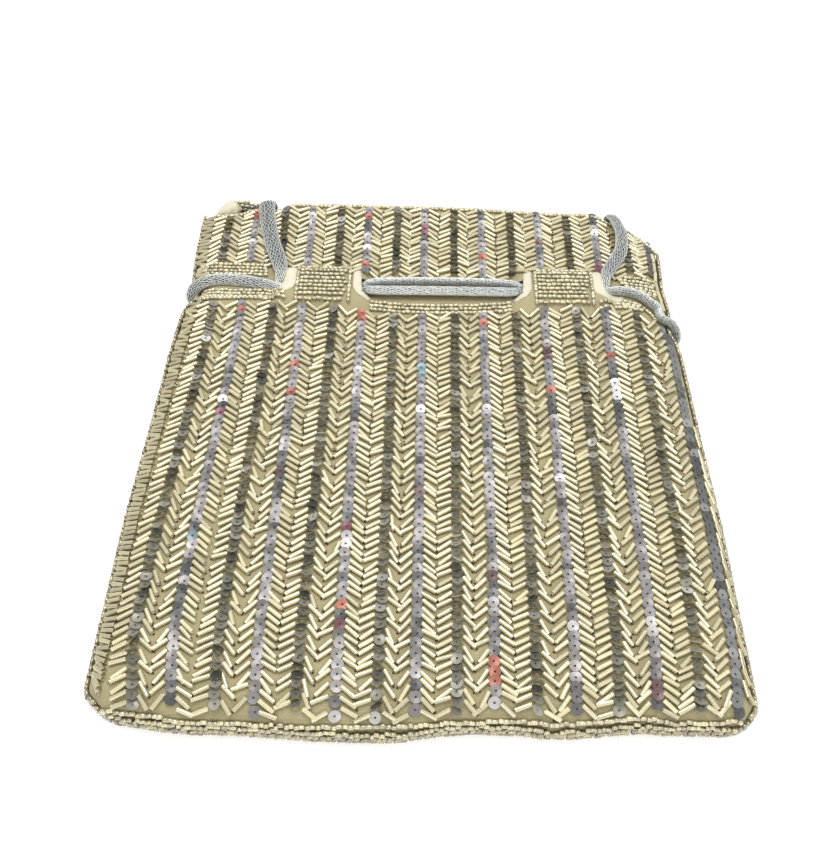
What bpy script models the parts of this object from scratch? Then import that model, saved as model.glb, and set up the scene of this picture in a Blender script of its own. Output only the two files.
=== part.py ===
# Beaded potli bag, lying on its back panel.
# Metres, +Z up. X runs across the bag, the mouth is at +Y, and the back panel rests on Z = 0.
# The back of the bag is the front turned over about the Y axis, so one set of functions makes both.

import math

import bmesh
import bpy
from mathutils import Vector

# Driving sizes of the bag
HALF_LENGTH = 0.116
FRONT_TOP = 0.014
CORNER = 0.011
SEAM_GAP = 0.0003
LIP = 0.0008
GAP = 0.0003

# Cloth
PANEL = 0.001
LINING = 0.0003
LINING_GAP = 0.0005

# The outline: half the panels' width at the foot, and its share at places along the half length
HALF_WIDTH = 0.1028
WIDTH_SHARES = (
    (-1.0, 1.0),
    (-0.34, 0.997),
    (0.0, 0.982),
    (0.30, 0.965),
    (0.52, 0.944),
    (0.62, 0.934),
    (0.79, 0.942),
    (1.0, 0.942),
)

# Heights of the side seam, and the lengths over which the bag's thickness changes
SEAM_FIELD = 0.0055
SEAM_BAND = 0.0087
SEAM_HEADING = 0.0093

# The mouth's right corner: how far its edge is drawn down, and its share at places along the half width
CORNER_DROP = 0.0240
CORNER_SHARES = (
    (0.74, 0.0),
    (0.79, 0.04),
    (0.82, 0.15),
    (0.85, 0.30),
    (0.895, 0.48),
    (0.93, 0.71),
    (0.946, 0.95),
)
RISE_RUN = 0.018
BAND_LEAD = 0.0187
HEADING_LEAD = 0.0213

# Drawcords, and the slit casing that they run through, below the mouth by the heading
CORD = 0.0030
HEADING = 0.0493
CORD_PITCH = 0.0049
CASING_SHIFT = 0.0064
SLIT_FROM_EDGE = 0.0356
BLOCK_LONG = 0.0366
SLIT_WIDE = 0.0055
SLIT_TALL = 0.0105
SLIT_ROUND = 0.0012
SLIT_STEP = 0.0052
CASING_FADE = 0.00775
CASING_EDGE = 0.0037
CROSS_FLAT_SHARE = 0.47
CROSS_NEAR_SHARE = 0.35
CROSS_END_SHARE = 0.9
CROSS_END_DROP = 0.0003
FADE_SHARE = 0.3

# Cream facings, on the side of each slit that its bead block is on
FACING_WIDE = 0.004
FACING_ARM = 0.0016
FACING_THICK = 0.0004

# Beadwork
BEAD_EDGE = 0.0020
BEAD_EDGE_GAP = 0.00045
BEAD_MOUTH = 0.0022
BEAD_PAD = 0.0008
STRIPES = 16
STRIPE_FROM_EDGE = 0.01235
STRIPE_SHIFT = 0.0050
STRIPE_WIDE = 0.0039
STRIPE_THICK = 0.0008
STRIPE_TUCK = 0.0042
BAND_INSET = 0.009
STRIPE_BOW = 0.0046
BOW_ACROSS_SHARES = (
    (-0.83, -1.0),
    (-0.71, -0.78),
    (-0.60, -0.41),
    (-0.48, -0.20),
    (-0.24, 0.0),
    (0.34, 0.09),
    (0.58, 0.35),
    (0.81, 0.45),
    (0.93, 0.39),
)
BOW_ALONG_SHARES = (
    (-0.98, 0.10),
    (-0.82, 0.75),
    (-0.74, 1.0),
    (-0.47, 0.9),
    (-0.10, 0.45),
    (0.33, 0.0),
)
LANE_RISE = 0.0011
LANE_CLEAR = 0.0003
LANE_SLOPE = 0.0006

# Handle loops and their knots, tucked flat under the mouth
KNOT_LONG = 0.012
KNOT_WIDE = 0.009
KNOT_TALL = 0.0044
KNOT_X = 0.0205
KNOT_BACK = 0.0255
KNOT_LEAD = 0.002
ROOM = 0.0003
FLOOR_CLEAR = 0.00002

# Rows and columns of the panel grids
EDGE_SHARES = (0.0, 0.0, 0.045, 0.18, 0.45, 1.0)
FIELD_ROW_SHARES = (-0.70, -0.34)
FIELD_COLUMN = 0.006
SIDE_COLUMN = 0.0018
OVERRUN = 0.004

# Rows and reach of the tucked handle loops, the rows as distances from the mouth
LOOP_LEAD = 0.0318
LOOP_BACKS = (0.0075, 0.0155, 0.0235, 0.0275)
LOOP_NEAR = 0.0200
LOOP_MIDDLE = 0.0330
LOOP_FAR = 0.0450
LOOP_TURN = 0.0040
STEP_SHARE = 2.2

# Places and levels that follow from the sizes
CORD_R = CORD / 2
CORD_Y = HALF_LENGTH - HEADING
BAND_START = CORD_Y - BAND_LEAD
FIELD_END = BAND_START - RISE_RUN
HEADING_START = CORD_Y + HEADING_LEAD
OUTER_SLIT = HALF_WIDTH - SLIT_FROM_EDGE
INNER_SLIT = OUTER_SLIT - BLOCK_LONG
STRIPE_PITCH = 2 * (HALF_WIDTH - STRIPE_FROM_EDGE) / (STRIPES - 1)
KNOT_Y = HALF_LENGTH - KNOT_BACK
LOOP_START = HALF_LENGTH - LOOP_LEAD
LOOP_ROWS = tuple(HALF_LENGTH - back for back in LOOP_BACKS)
HI = CORD_Y + CORD_PITCH / 2
LO = CORD_Y - CORD_PITCH / 2
PANEL_BOTTOM = -HALF_LENGTH + BEAD_EDGE + BEAD_EDGE_GAP
PANEL_TOP = HALF_LENGTH - BEAD_MOUTH - GAP
OUT_LEVEL = FRONT_TOP + GAP + CORD_R
LINING_TOP = FRONT_TOP - PANEL - LINING_GAP
IN_LEVEL = LINING_TOP + GAP + CORD_R
BLOCK_RISE = IN_LEVEL + CORD_R + GAP + PANEL - FRONT_TOP
CROSS_DROP = CORD + GAP
BACK_OUT_LEVEL = CORD_R + FLOOR_CLEAR
BACK_BLOCK = GAP + BEAD_PAD
BACK_BAND = FLOOR_CLEAR + CORD + GAP + BACK_BLOCK
BACK_HEADING = KNOT_TALL + ROOM
BACK_IN_LEVEL = BACK_BLOCK + PANEL + GAP + CORD_R
CROSS_TOP = BACK_IN_LEVEL + CROSS_DROP + CORD_R + 2 * GAP
LINING_OFFSET = PANEL + LINING_GAP

SLITS = (
    CASING_SHIFT - OUTER_SLIT,
    CASING_SHIFT - INNER_SLIT,
    CASING_SHIFT + INNER_SLIT,
    CASING_SHIFT + OUTER_SLIT,
)
HALF_STEP = SLIT_STEP / 2
HALF_TALL = SLIT_TALL / 2
STRIPE_PLACES = tuple(STRIPE_SHIFT + (k - (STRIPES - 1) / 2) * STRIPE_PITCH for k in range(STRIPES))
WIDTH_STATIONS = tuple((place * HALF_LENGTH, wide * HALF_WIDTH) for place, wide in WIDTH_SHARES)
SEAM_STATIONS = (
    (0.0, SEAM_FIELD),
    (BAND_START, SEAM_BAND),
    (HEADING_START, SEAM_HEADING),
)
FIELD_ROWS = (
    *(share * HALF_LENGTH for share in FIELD_ROW_SHARES),
    0.0,
    FIELD_END,
    (FIELD_END + BAND_START) / 2,
    BAND_START,
)
BAND_ROWS = (
    CORD_Y - HALF_TALL - CASING_FADE,
    CORD_Y - HALF_TALL - CASING_FADE + CASING_EDGE,
    CORD_Y - HALF_TALL,
    CORD_Y + HALF_TALL,
    CORD_Y + HALF_TALL + CASING_FADE - CASING_EDGE,
    CORD_Y + HALF_TALL + CASING_FADE,
)
CROSS_MIDDLE = (SLITS[2] + SLITS[3]) / 2
CROSS_HALF = (SLITS[3] - SLITS[2]) / 2 - HALF_STEP


def clear_scene():
    for thing in list(bpy.data.objects):
        bpy.data.objects.remove(thing, do_unlink=True)


def new_collection(name):
    group = bpy.data.collections.new(name)
    bpy.context.scene.collection.children.link(group)
    return group


def material(name, colour, roughness, metallic=0.0):
    made = bpy.data.materials.get(name)
    if made is None:
        made = bpy.data.materials.new(name)
        made.use_nodes = True
        shader = made.node_tree.nodes["Principled BSDF"]
        shader.inputs["Base Color"].default_value = (*colour, 1.0)
        shader.inputs["Roughness"].default_value = roughness
        shader.inputs["Metallic"].default_value = metallic
    return made


def beadwork():
    return material("champagne_beadwork", (0.62, 0.55, 0.38), 0.35, 0.4)


def seed_beads():
    return material("silver_lined_seed_beads", (0.66, 0.59, 0.40), 0.3, 0.5)


def cream_cloth():
    return material("cream_lining_cloth", (0.80, 0.74, 0.60), 0.8)


def sequins():
    return material("lilac_grey_sequins", (0.36, 0.35, 0.38), 0.25, 0.6)


def cord_mesh():
    return material("silver_knit_cord", (0.50, 0.51, 0.53), 0.3, 0.85)


def along(stations, at):
    """The value at a place along a list of (place, value) stations, straight between them."""
    if at <= stations[0][0]:
        return stations[0][1]
    for (a, low), (b, high) in zip(stations, stations[1:]):
        if at <= b:
            return low + (high - low) * (at - a) / (b - a)
    return stations[-1][1]


# The outer surfaces


def band_share(y):
    """How far the casing's bulge has risen at a place along the bag: 1 over the cords."""
    shares = (0.0, FADE_SHARE, 1.0, 1.0, FADE_SHARE, 0.0)
    return along(tuple(zip(BAND_ROWS, shares)), y)


def block_share(x):
    """How far the panel has risen over the cords at a place across it: 1 over the two blocks."""
    stations = []
    for slit, before in zip(SLITS, (0.0, 1.0, 0.0, 1.0)):
        stations.append((slit - HALF_STEP, before))
        stations.append((slit + HALF_STEP, 1.0 - before))
    return along(stations, x)


def cross_share(x):
    """How far the lining gives way where one cord passes the other behind the right block."""
    flat = CROSS_FLAT_SHARE * CROSS_HALF
    ends = (CROSS_MIDDLE - CROSS_HALF - HALF_STEP, CROSS_MIDDLE + CROSS_HALF + HALF_STEP)
    stations = ((ends[0], 0.0), (CROSS_MIDDLE - flat, 1.0), (CROSS_MIDDLE + flat, 1.0), (ends[1], 0.0))
    return along(stations, x)


def drawn_down(x, y):
    """A place's distance along the bag, with the heading drawn down at the mouth's right corner."""
    across = along(tuple((place * HALF_WIDTH, share) for place, share in CORNER_SHARES), x)
    return y - CORNER_DROP * across * along(((HEADING_START, 0.0), (PANEL_TOP, 1.0)), y)


def stripe_shift(x, y):
    """How far a straight stripe at x bows out to the side at a place along the bag."""
    across = along(tuple((place * HALF_WIDTH, share) for place, share in BOW_ACROSS_SHARES), x)
    return STRIPE_BOW * across * along(tuple((place * HALF_LENGTH, s) for place, s in BOW_ALONG_SHARES), y)


def pillow(x, y, inset):
    """The share of its full height that a panel has at a place: 0 on the seam, 1 past the edge."""
    reach = CORNER - inset
    side = along(WIDTH_STATIONS, y) - inset - abs(x)
    foot = y - PANEL_BOTTOM - inset
    away = math.hypot(max(0.0, reach - side), max(0.0, reach - foot))
    share = min(1.0, away / reach)
    return math.sqrt(1.0 - share * share)


def back_level(y):
    """The height of the back panel's underside: on the table, then over cords and knots."""
    stations = (
        (FIELD_END, 0.0),
        (BAND_START, BACK_BAND),
        (BAND_ROWS[5], BACK_BAND),
        (HEADING_START, BACK_HEADING),
    )
    return along(stations, y)


def front_height(x, y):
    """The front panel's outer surface."""
    low = along(SEAM_STATIONS, y) + SEAM_GAP / 2 + LIP
    high = FRONT_TOP + BLOCK_RISE * block_share(x) * band_share(y)
    return low + (high - low) * pillow(x, y, 0.0)


def lane_stations():
    """Where the lanes of bugle beads between the stripes rise and fall, as (place, share)."""
    foot = STRIPE_WIDE / 2 + LANE_CLEAR
    stations = []
    for left, right in zip(STRIPE_PLACES[:-2], STRIPE_PLACES[1:-1]):
        stations += [(left + foot, 0.0), (left + foot + LANE_SLOPE, 1.0)]
        stations += [(right - foot - LANE_SLOPE, 1.0), (right - foot, 0.0)]
    return stations


def lane_lift(x, y):
    """How far the lanes stand above the front panel. They leave the casing free."""
    runs = (
        (PANEL_BOTTOM + EDGE_SHARES[4] * CORNER, 0.0),
        (PANEL_BOTTOM + CORNER, 1.0),
        (BAND_START, 1.0),
        (BAND_ROWS[0], 0.0),
        (BAND_ROWS[5], 0.0),
        (HEADING_START, 1.0),
    )
    return LANE_RISE * along(lane_stations(), x) * along(runs, y)


def back_height(x, y):
    """The back panel's outer surface, which is its underside."""
    low = along(SEAM_STATIONS, y) - SEAM_GAP / 2 - LIP
    drop = BACK_BAND - BACK_BLOCK
    high = back_level(y) - drop * block_share(-x) * band_share(y)
    return low + (high - low) * pillow(x, y, 0.0)


def front_lining_height(x, y):
    low = along(SEAM_STATIONS, y) + SEAM_GAP / 2 + LIP
    high = LINING_TOP - (CROSS_DROP + GAP) * cross_share(x) * band_share(y)
    return low + (high - low) * pillow(x, y, LINING_OFFSET)


def back_lining_height(x, y):
    low = along(SEAM_STATIONS, y) - SEAM_GAP / 2 - LIP
    plain = back_level(y) + LINING_OFFSET
    lift = CROSS_TOP - BACK_BAND - LINING_OFFSET
    high = plain + lift * cross_share(-x) * band_share(y)
    return low + (high - low) * pillow(x, y, LINING_OFFSET)


# Shells and strips that follow a surface


def rounded_half_width(y, inset):
    """The half width of a panel, drawn in round the bottom corners."""
    reach = CORNER - inset
    foot = min(reach, max(0.0, y - PANEL_BOTTOM - inset))
    drawn_in = reach - math.sqrt(max(0.0, reach * reach - (reach - foot) ** 2))
    return along(WIDTH_STATIONS, y) - inset - drawn_in


def shell(name, height, columns, inset, thick, facing, group, finish, lanes=False):
    """A cloth shell: a grid on a surface, turned down to the seam at its edges and thickened inward.
    With lanes, its middle columns bow out as the stripes do and its lanes are raised."""
    steps = [share * (CORNER - inset) for share in EDGE_SHARES]
    rows = [PANEL_BOTTOM + inset + step for step in steps]
    rows += [*FIELD_ROWS, *BAND_ROWS, HEADING_START, PANEL_TOP]
    work = bmesh.new()
    grid = []
    for i, y in enumerate(rows):
        half = rounded_half_width(y, inset)
        squeeze = min(1.0, (half - steps[-1]) / (max(abs(x) for x in columns) + LANE_CLEAR))
        places = [(-half + step, 0.0) for step in steps]
        for x in columns:
            shift, lift = (stripe_shift(x, y), lane_lift(x, y)) if lanes else (0.0, 0.0)
            places.append((squeeze * x + shift, lift))
        places += [(half - step, 0.0) for step in reversed(steps)]
        line = []
        for j, (x, lift) in enumerate(places):
            z = height(x, y) + lift
            if i == 0 or j in (0, len(places) - 1):
                z = along(SEAM_STATIONS, y) + facing * SEAM_GAP / 2
            line.append(work.verts.new((x, drawn_down(x, y), z)))
        grid.append(line)
    for low, high in zip(grid, grid[1:]):
        for j in range(len(low) - 1):
            corners = (low[j], low[j + 1], high[j + 1], high[j])
            work.faces.new(corners if facing > 0 else tuple(reversed(corners)))
    bmesh.ops.remove_doubles(work, verts=work.verts, dist=GAP / 10)
    made = finish_mesh(name, work, group, finish)
    solid = made.modifiers.new("cloth", "SOLIDIFY")
    solid.thickness = thick
    solid.offset = -1.0
    solid.use_even_offset = True
    return made


def strip(name, height, xs, ys, lift, thick, facing, group, finish, shift=None):
    """A strip of beadwork or cloth that lies on a surface, lift away from it."""
    work = bmesh.new()
    grid = []
    for y in ys:
        places = [x + (shift(xs[1], y) if shift else 0.0) for x in xs]
        grid.append([work.verts.new((x, y, height(x, y) + facing * lift)) for x in places])
    for low, high in zip(grid, grid[1:]):
        for j in range(len(low) - 1):
            corners = (low[j], low[j + 1], high[j + 1], high[j])
            work.faces.new(corners if facing > 0 else tuple(reversed(corners)))
    made = finish_mesh(name, work, group, finish)
    solid = made.modifiers.new("thickness", "SOLIDIFY")
    solid.thickness = thick
    solid.offset = 1.0
    return made


def finish_mesh(name, work, group, finish):
    mesh = bpy.data.meshes.new(name)
    work.normal_update()
    work.to_mesh(mesh)
    work.free()
    mesh.materials.append(finish)
    mesh.shade_smooth()
    mesh.set_sharp_from_angle(angle=math.radians(40))
    made = bpy.data.objects.new(name, mesh)
    group.objects.link(made)
    return made


def slit_cutter(name, slits, wide, tall, group):
    """Rounded blocks that cut the slits through a panel."""
    work = bmesh.new()
    high = FRONT_TOP + BLOCK_RISE + 2 * OVERRUN
    for x in slits:
        made = bmesh.ops.create_cube(work, size=1.0)["verts"]
        bmesh.ops.scale(work, vec=(wide, tall, high), verts=made)
        bmesh.ops.translate(work, vec=(x, CORD_Y, high / 2 - OVERRUN), verts=made)
        edges = {edge for vert in made for edge in vert.link_edges}
        upright = [e for e in edges if abs(e.verts[0].co.z - e.verts[1].co.z) > high / 2]
        bmesh.ops.bevel(work, geom=upright, offset=SLIT_ROUND, segments=2, affect="EDGES")
    made = finish_mesh(name, work, group, cream_cloth())
    made.hide_render = True
    made.display_type = "WIRE"
    return made


def cut(made, cutter):
    hole = made.modifiers.new("slits", "BOOLEAN")
    hole.operation = "DIFFERENCE"
    hole.solver = "EXACT"
    hole.object = cutter


# Tubes


def smooth_line(points, step):
    """A smooth line through every point of a route, about step apart, that stays on the table."""
    route = [Vector(p) for p in points]
    route = [2 * route[0] - route[1], *route, 2 * route[-1] - route[-2]]
    line = [route[1]]
    for a, b, c, d in zip(route, route[1:], route[2:], route[3:]):
        count = max(1, round((c - b).length / step))
        for k in range(1, count + 1):
            t = k / count
            line.append(
                0.5
                * (
                    2 * b
                    + (c - a) * t
                    + (2 * a - 5 * b + 4 * c - d) * t * t
                    + (3 * b - a - 3 * c + d) * t * t * t
                )
            )
    for place in line:
        place.z = max(place.z, BACK_OUT_LEVEL)
    return line


def tube(name, line, radius, resolution, group, finish):
    curve = bpy.data.curves.new(name, "CURVE")
    curve.dimensions = "3D"
    curve.bevel_depth = radius
    curve.bevel_resolution = resolution
    curve.resolution_u = 1
    curve.render_resolution_u = 0
    curve.use_fill_caps = True
    spline = curve.splines.new("POLY")
    spline.points.add(len(line) - 1)
    for point, place in zip(spline.points, line):
        point.co = (*place, 1.0)
    curve.materials.append(finish)
    made = bpy.data.objects.new(name, curve)
    group.objects.link(made)
    return made


def edge_beads(name, facing, group):
    """A row of seed beads along the side seams and the bottom, on one side of the seam."""
    out = BEAD_EDGE_GAP + BEAD_EDGE / 2
    rise = facing * (SEAM_GAP + BEAD_EDGE) / 2
    ys = [HEADING_START, *reversed(BAND_ROWS[::2]), *reversed(FIELD_ROWS)]
    side = [(along(WIDTH_STATIONS, y) + out, y) for y in ys]
    top = PANEL_TOP - OVERRUN
    centre_y = PANEL_BOTTOM + CORNER
    centre_x = along(WIDTH_STATIONS, centre_y) - CORNER
    arc = []
    for k in range(5):
        turn = math.radians(22.5 * k)
        arc.append((centre_x + (CORNER + out) * math.cos(turn), centre_y - (CORNER + out) * math.sin(turn)))
    right = side + arc
    left = [(-x, y) for x, y in reversed(right)] + [(-along(WIDTH_STATIONS, top) - out, top)]
    line = [(x, y, along(SEAM_STATIONS, y) + rise) for x, y in right + left]
    return tube(name, line, BEAD_EDGE / 2, 1, group, seed_beads())


def mouth_beads(name, height, facing, group):
    """The bead row along one lip of the mouth."""
    half = rounded_half_width(PANEL_TOP, 0.0)
    steps = [share * CORNER for share in EDGE_SHARES[3:]]
    places = [-half + step for step in steps] + panel_columns(facing)
    places += [half - step for step in reversed(steps)]
    lip = [Vector((x, drawn_down(x, PANEL_TOP), height(x, PANEL_TOP) - facing * PANEL / 2)) for x in places]
    line = []
    for k, place in enumerate(lip):
        ahead = lip[min(k + 1, len(lip) - 1)] - lip[max(k - 1, 0)]
        outward = Vector((-ahead.y, ahead.x, 0.0)).normalized()
        line.append(place + outward * (GAP + BEAD_MOUTH / 2))
    return tube(name, line, BEAD_MOUTH / 2, 1, group, seed_beads())


def knot(name, side, group):
    """A flattened overhand knot with its two short tails."""
    body = bmesh.new()
    bmesh.ops.create_uvsphere(body, u_segments=14, v_segments=8, radius=0.5)
    bmesh.ops.scale(body, vec=(KNOT_LONG, KNOT_WIDE, KNOT_TALL), verts=body.verts)
    bmesh.ops.translate(body, vec=(side * KNOT_X, KNOT_Y, KNOT_TALL / 2), verts=body.verts)
    made = finish_mesh(name, body, group, cord_mesh())
    inner = side * (KNOT_X - KNOT_LONG / 2)
    for sign in (1, -1):
        root = (inner + side * KNOT_LEAD, KNOT_Y + sign * KNOT_LEAD, BACK_OUT_LEVEL)
        bend = (inner - side * KNOT_LEAD, KNOT_Y + sign * (KNOT_LEAD + ROOM), BACK_OUT_LEVEL)
        tip = (inner - side * (KNOT_WIDE - KNOT_LEAD), KNOT_Y + sign * KNOT_WIDE / 2, BACK_OUT_LEVEL)
        tail = tube(name + "_tail", smooth_line((root, bend, tip), CORD), CORD_R, 1, group, cord_mesh())
        mesh = bpy.data.meshes.new_from_object(tail.evaluated_get(bpy.context.evaluated_depsgraph_get()))
        bpy.data.objects.remove(tail, do_unlink=True)
        weld = bmesh.new()
        weld.from_mesh(mesh)
        bmesh.ops.remove_doubles(weld, verts=weld.verts, dist=GAP / 10)
        weld.to_mesh(mesh)
        weld.free()
        solid = bpy.data.objects.new(name + "_tail_shape", mesh)
        cutters.objects.link(solid)
        solid.hide_render = True
        solid.display_type = "WIRE"
        union = made.modifiers.new("tail", "BOOLEAN")
        union.operation = "UNION"
        union.solver = "EXACT"
        union.object = solid
    return made


def panel_columns(facing):
    """The columns of an outer panel: both steps of each slit, places between them, and the corner's."""
    last = SLITS[3] + HALF_STEP + SIDE_COLUMN
    found = [-last, last, *(facing * place * HALF_WIDTH for place, share in CORNER_SHARES[1:3])]
    for slit in SLITS:
        found += [slit - HALF_STEP, slit + HALF_STEP]
    found += [(SLITS[0] + SLITS[1]) / 2, CASING_SHIFT - FIELD_COLUMN, CASING_SHIFT + FIELD_COLUMN]
    found.append((SLITS[2] + SLITS[3]) / 2)
    return sorted(facing * x for x in found)


def lining_columns(facing):
    flat = CROSS_FLAT_SHARE * CROSS_HALF
    found = [SLITS[0], SLITS[1], CASING_SHIFT - FIELD_COLUMN, SLITS[2]]
    found += [CROSS_MIDDLE - flat, CROSS_MIDDLE + flat, CROSS_MIDDLE + CROSS_HALF + HALF_STEP]
    found += [CROSS_MIDDLE - CROSS_HALF - HALF_STEP - FIELD_COLUMN]
    return sorted(facing * x for x in found)


# The routes of the cords, as points chosen by hand


def front_casing(crossing_down, start, end):
    """The points of one cord through the front casing, left to right, from one row to the other."""
    out = HALF_STEP + GAP
    drop = CROSS_DROP if crossing_down else 0.0
    near = CROSS_NEAR_SHARE
    far = CROSS_END_SHARE
    points = []
    points.append((SLITS[0] - out, start, OUT_LEVEL))
    points.append((SLITS[0] + out, start, IN_LEVEL))
    points.append((SLITS[1] - out, start, IN_LEVEL))
    points.append((SLITS[1] + out, start, OUT_LEVEL))
    points.append((CASING_SHIFT, start, OUT_LEVEL))
    points.append((SLITS[2] - out, start, OUT_LEVEL))
    points.append((SLITS[2] + out, start, IN_LEVEL))
    middle = (start + end) / 2
    half = (end - start) / 2
    end_drop = CROSS_END_DROP if crossing_down else 0.0
    points.append((CROSS_MIDDLE - far * CROSS_HALF, middle - far * half, IN_LEVEL - end_drop))
    points.append((CROSS_MIDDLE - near * CROSS_HALF, middle - near * half, IN_LEVEL - drop))
    points.append((CROSS_MIDDLE + near * CROSS_HALF, middle + near * half, IN_LEVEL - drop))
    points.append((CROSS_MIDDLE + far * CROSS_HALF, middle + far * half, IN_LEVEL - end_drop))
    points.append((SLITS[3] - out, end, IN_LEVEL))
    points.append((SLITS[3] + out, end, OUT_LEVEL))
    return points


def back_casing(crossing_down, start, end):
    """The same points on the back, turned over about the Y axis, so they run right to left."""
    points = []
    for x, y, z in front_casing(crossing_down, start, end):
        depth = OUT_LEVEL - z
        level = OUT_LEVEL - IN_LEVEL
        if depth <= level:
            turned = BACK_OUT_LEVEL + (BACK_IN_LEVEL - BACK_OUT_LEVEL) * depth / level
        else:
            turned = BACK_IN_LEVEL + depth - level
        points.append((-x, y, turned))
    return points


def round_edge(side, start_y, low_y):
    """The points that carry a cord round a side edge, clear of its two bead rows."""
    edge = along(WIDTH_STATIONS, low_y)
    seam = along(SEAM_STATIONS, low_y)
    out = BEAD_EDGE_GAP + BEAD_EDGE + GAP + CORD_R
    places = (
        (-0.0035, OUT_LEVEL - 0.0003, start_y),
        (0.0003, OUT_LEVEL - 0.0015, (2 * start_y + low_y) / 3),
        (0.0032, seam + BEAD_EDGE + CORD_R, (start_y + 2 * low_y) / 3),
        (out, seam + BEAD_EDGE / 2, low_y),
        (out, seam - BEAD_EDGE / 2, low_y),
        (0.0032, seam - BEAD_EDGE - CORD_R, low_y),
        (0.0008, BACK_OUT_LEVEL + GAP, low_y),
    )
    return [(side * (edge + x), y, z) for x, z, y in places]


def drawcord_routes():
    """The two threaded cords. Each starts behind the mouth, runs round the bag in the casings and
    ends at the back slit on the side where it started."""
    over = FRONT_TOP + BEAD_PAD + 2 * GAP + CORD_R
    rim_z = FRONT_TOP + BEAD_MOUTH / 2 + GAP + CORD_R
    behind = HALF_LENGTH + GAP + CORD_R
    hung = CORD + 2 * GAP

    left_rise = [
        (-0.0694, behind, hung),
        (-0.0694, behind, 0.0090),
        (-0.0694, behind, 0.0136),
        (-0.0693, behind - 0.0006, 0.0158),
        (-0.0692, HALF_LENGTH - 0.0006, rim_z + 0.0001),
        (-0.0690, HALF_LENGTH - 0.0030, rim_z),
        (-0.0680, 0.1070, rim_z),
        (-0.0662, 0.0970, rim_z),
        (-0.0645, 0.0870, rim_z),
        (-0.0640, BAND_ROWS[5], over),
        (-0.0640, BAND_ROWS[4] - GAP, over),
    ]
    right_rise = [
        (0.0770, behind, hung),
        (0.0770, behind, 0.0090),
        (0.0770, behind, 0.0136),
        (0.0772, behind - 0.0006, 0.0158),
        (0.0775, HALF_LENGTH - 0.0006, rim_z + 0.0001),
        (0.0780, HALF_LENGTH - 0.0030, rim_z),
        (0.0805, 0.1070, rim_z),
        (0.0815, 0.0970, rim_z),
        (0.0805, 0.0870, rim_z),
        (0.0788, BAND_ROWS[5], over),
        (0.0778, BAND_ROWS[4] - GAP, over),
    ]

    round_right = [
        (0.0830, LO - 0.0004, OUT_LEVEL + GAP),
        (0.0885, 0.0605, over),
        (0.0925, 0.0555, over),
        *round_edge(1, 0.0525, 0.0480),
        (0.0920, 0.0525, BACK_OUT_LEVEL),
        (0.0830, 0.0600, BACK_OUT_LEVEL),
        (0.0740, LO, BACK_OUT_LEVEL),
    ]
    round_left = [
        (-0.0720, 0.0648, OUT_LEVEL),
        (-0.0830, 0.0655, OUT_LEVEL),
        *round_edge(-1, 0.0652, 0.0640),
        (-0.0900, 0.0645, BACK_OUT_LEVEL),
    ]

    left_out = [(-0.0790, 0.0735, BACK_OUT_LEVEL), (-0.0795, 0.0800, BACK_OUT_LEVEL)]
    left_out.append((-0.0795, LOOP_START - GAP, BACK_OUT_LEVEL))
    right_out = [(0.0665, 0.0735, BACK_OUT_LEVEL), (0.0672, 0.0800, BACK_OUT_LEVEL)]
    right_out.append((0.0672, LOOP_START - GAP, BACK_OUT_LEVEL))

    left = left_rise + front_casing(True, HI, LO) + round_right + back_casing(True, LO, HI) + left_out
    right = right_rise + list(reversed(front_casing(False, LO, HI))) + round_left
    right += list(reversed(back_casing(False, HI, LO))) + right_out
    return left, right


def handle_routes(side, rim_x, back_x):
    """The two strands of a handle loop, from the mouth's edge and from the back slit to the knot."""
    level = BACK_OUT_LEVEL
    knot_end = side * (KNOT_X + KNOT_LONG / 2 + GAP)
    front = [
        (rim_x, HALF_LENGTH + GAP + CORD_R, level),
        (rim_x - side * 0.0010, 0.1130, level),
        (rim_x - side * 0.0060, 0.1092, level),
        (side * 0.0560, LOOP_ROWS[0], level),
        (side * LOOP_MIDDLE, LOOP_ROWS[0], level),
        (side * LOOP_NEAR, LOOP_ROWS[0], level),
        (side * (LOOP_NEAR - LOOP_TURN), (LOOP_ROWS[0] + LOOP_ROWS[1]) / 2, level),
        (side * LOOP_NEAR, LOOP_ROWS[1], level),
        (side * LOOP_MIDDLE, LOOP_ROWS[1], level),
        (side * LOOP_FAR, LOOP_ROWS[1], level),
        (side * (LOOP_FAR + LOOP_TURN), (LOOP_ROWS[1] + LOOP_ROWS[2]) / 2, level),
        (side * LOOP_FAR, LOOP_ROWS[2], level),
        (side * LOOP_MIDDLE, LOOP_ROWS[2], level),
        (knot_end, LOOP_ROWS[2], level),
    ]
    back = [
        (back_x, LOOP_START, level),
        (back_x, LOOP_START + 0.0010, level),
        (back_x - side * 0.0030, 0.0875, level),
        (side * 0.0600, LOOP_ROWS[3] - 0.0005, level),
        (side * LOOP_FAR, LOOP_ROWS[3] - 0.0005, level),
        (side * LOOP_MIDDLE, LOOP_ROWS[3], level),
        (knot_end, LOOP_ROWS[3], level),
    ]
    return front, back


def length_of(line):
    return sum((b - a).length for a, b in zip(line, line[1:]))


clear_scene()
bag = new_collection("potli_bag")
cutters = new_collection("cutters")

# Outer panels, with their slits, and the lining
front_columns = sorted(panel_columns(1) + [x for x, share in lane_stations()])
front = shell("front_outer_panel", front_height, front_columns, 0.0, PANEL, 1, bag, beadwork(), lanes=True)
back = shell("back_outer_panel", back_height, panel_columns(-1), 0.0, PANEL, -1, bag, beadwork())
cut(front, slit_cutter("front_slits", SLITS, SLIT_WIDE, SLIT_TALL, cutters))
cut(back, slit_cutter("back_slits", [-x for x in SLITS], SLIT_WIDE, SLIT_TALL, cutters))
shell(
    "front_lining", front_lining_height, lining_columns(1), LINING_OFFSET, LINING, 1, bag, cream_cloth()
)
shell(
    "back_lining", back_lining_height, lining_columns(-1), LINING_OFFSET, LINING, -1, bag, cream_cloth()
)

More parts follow.
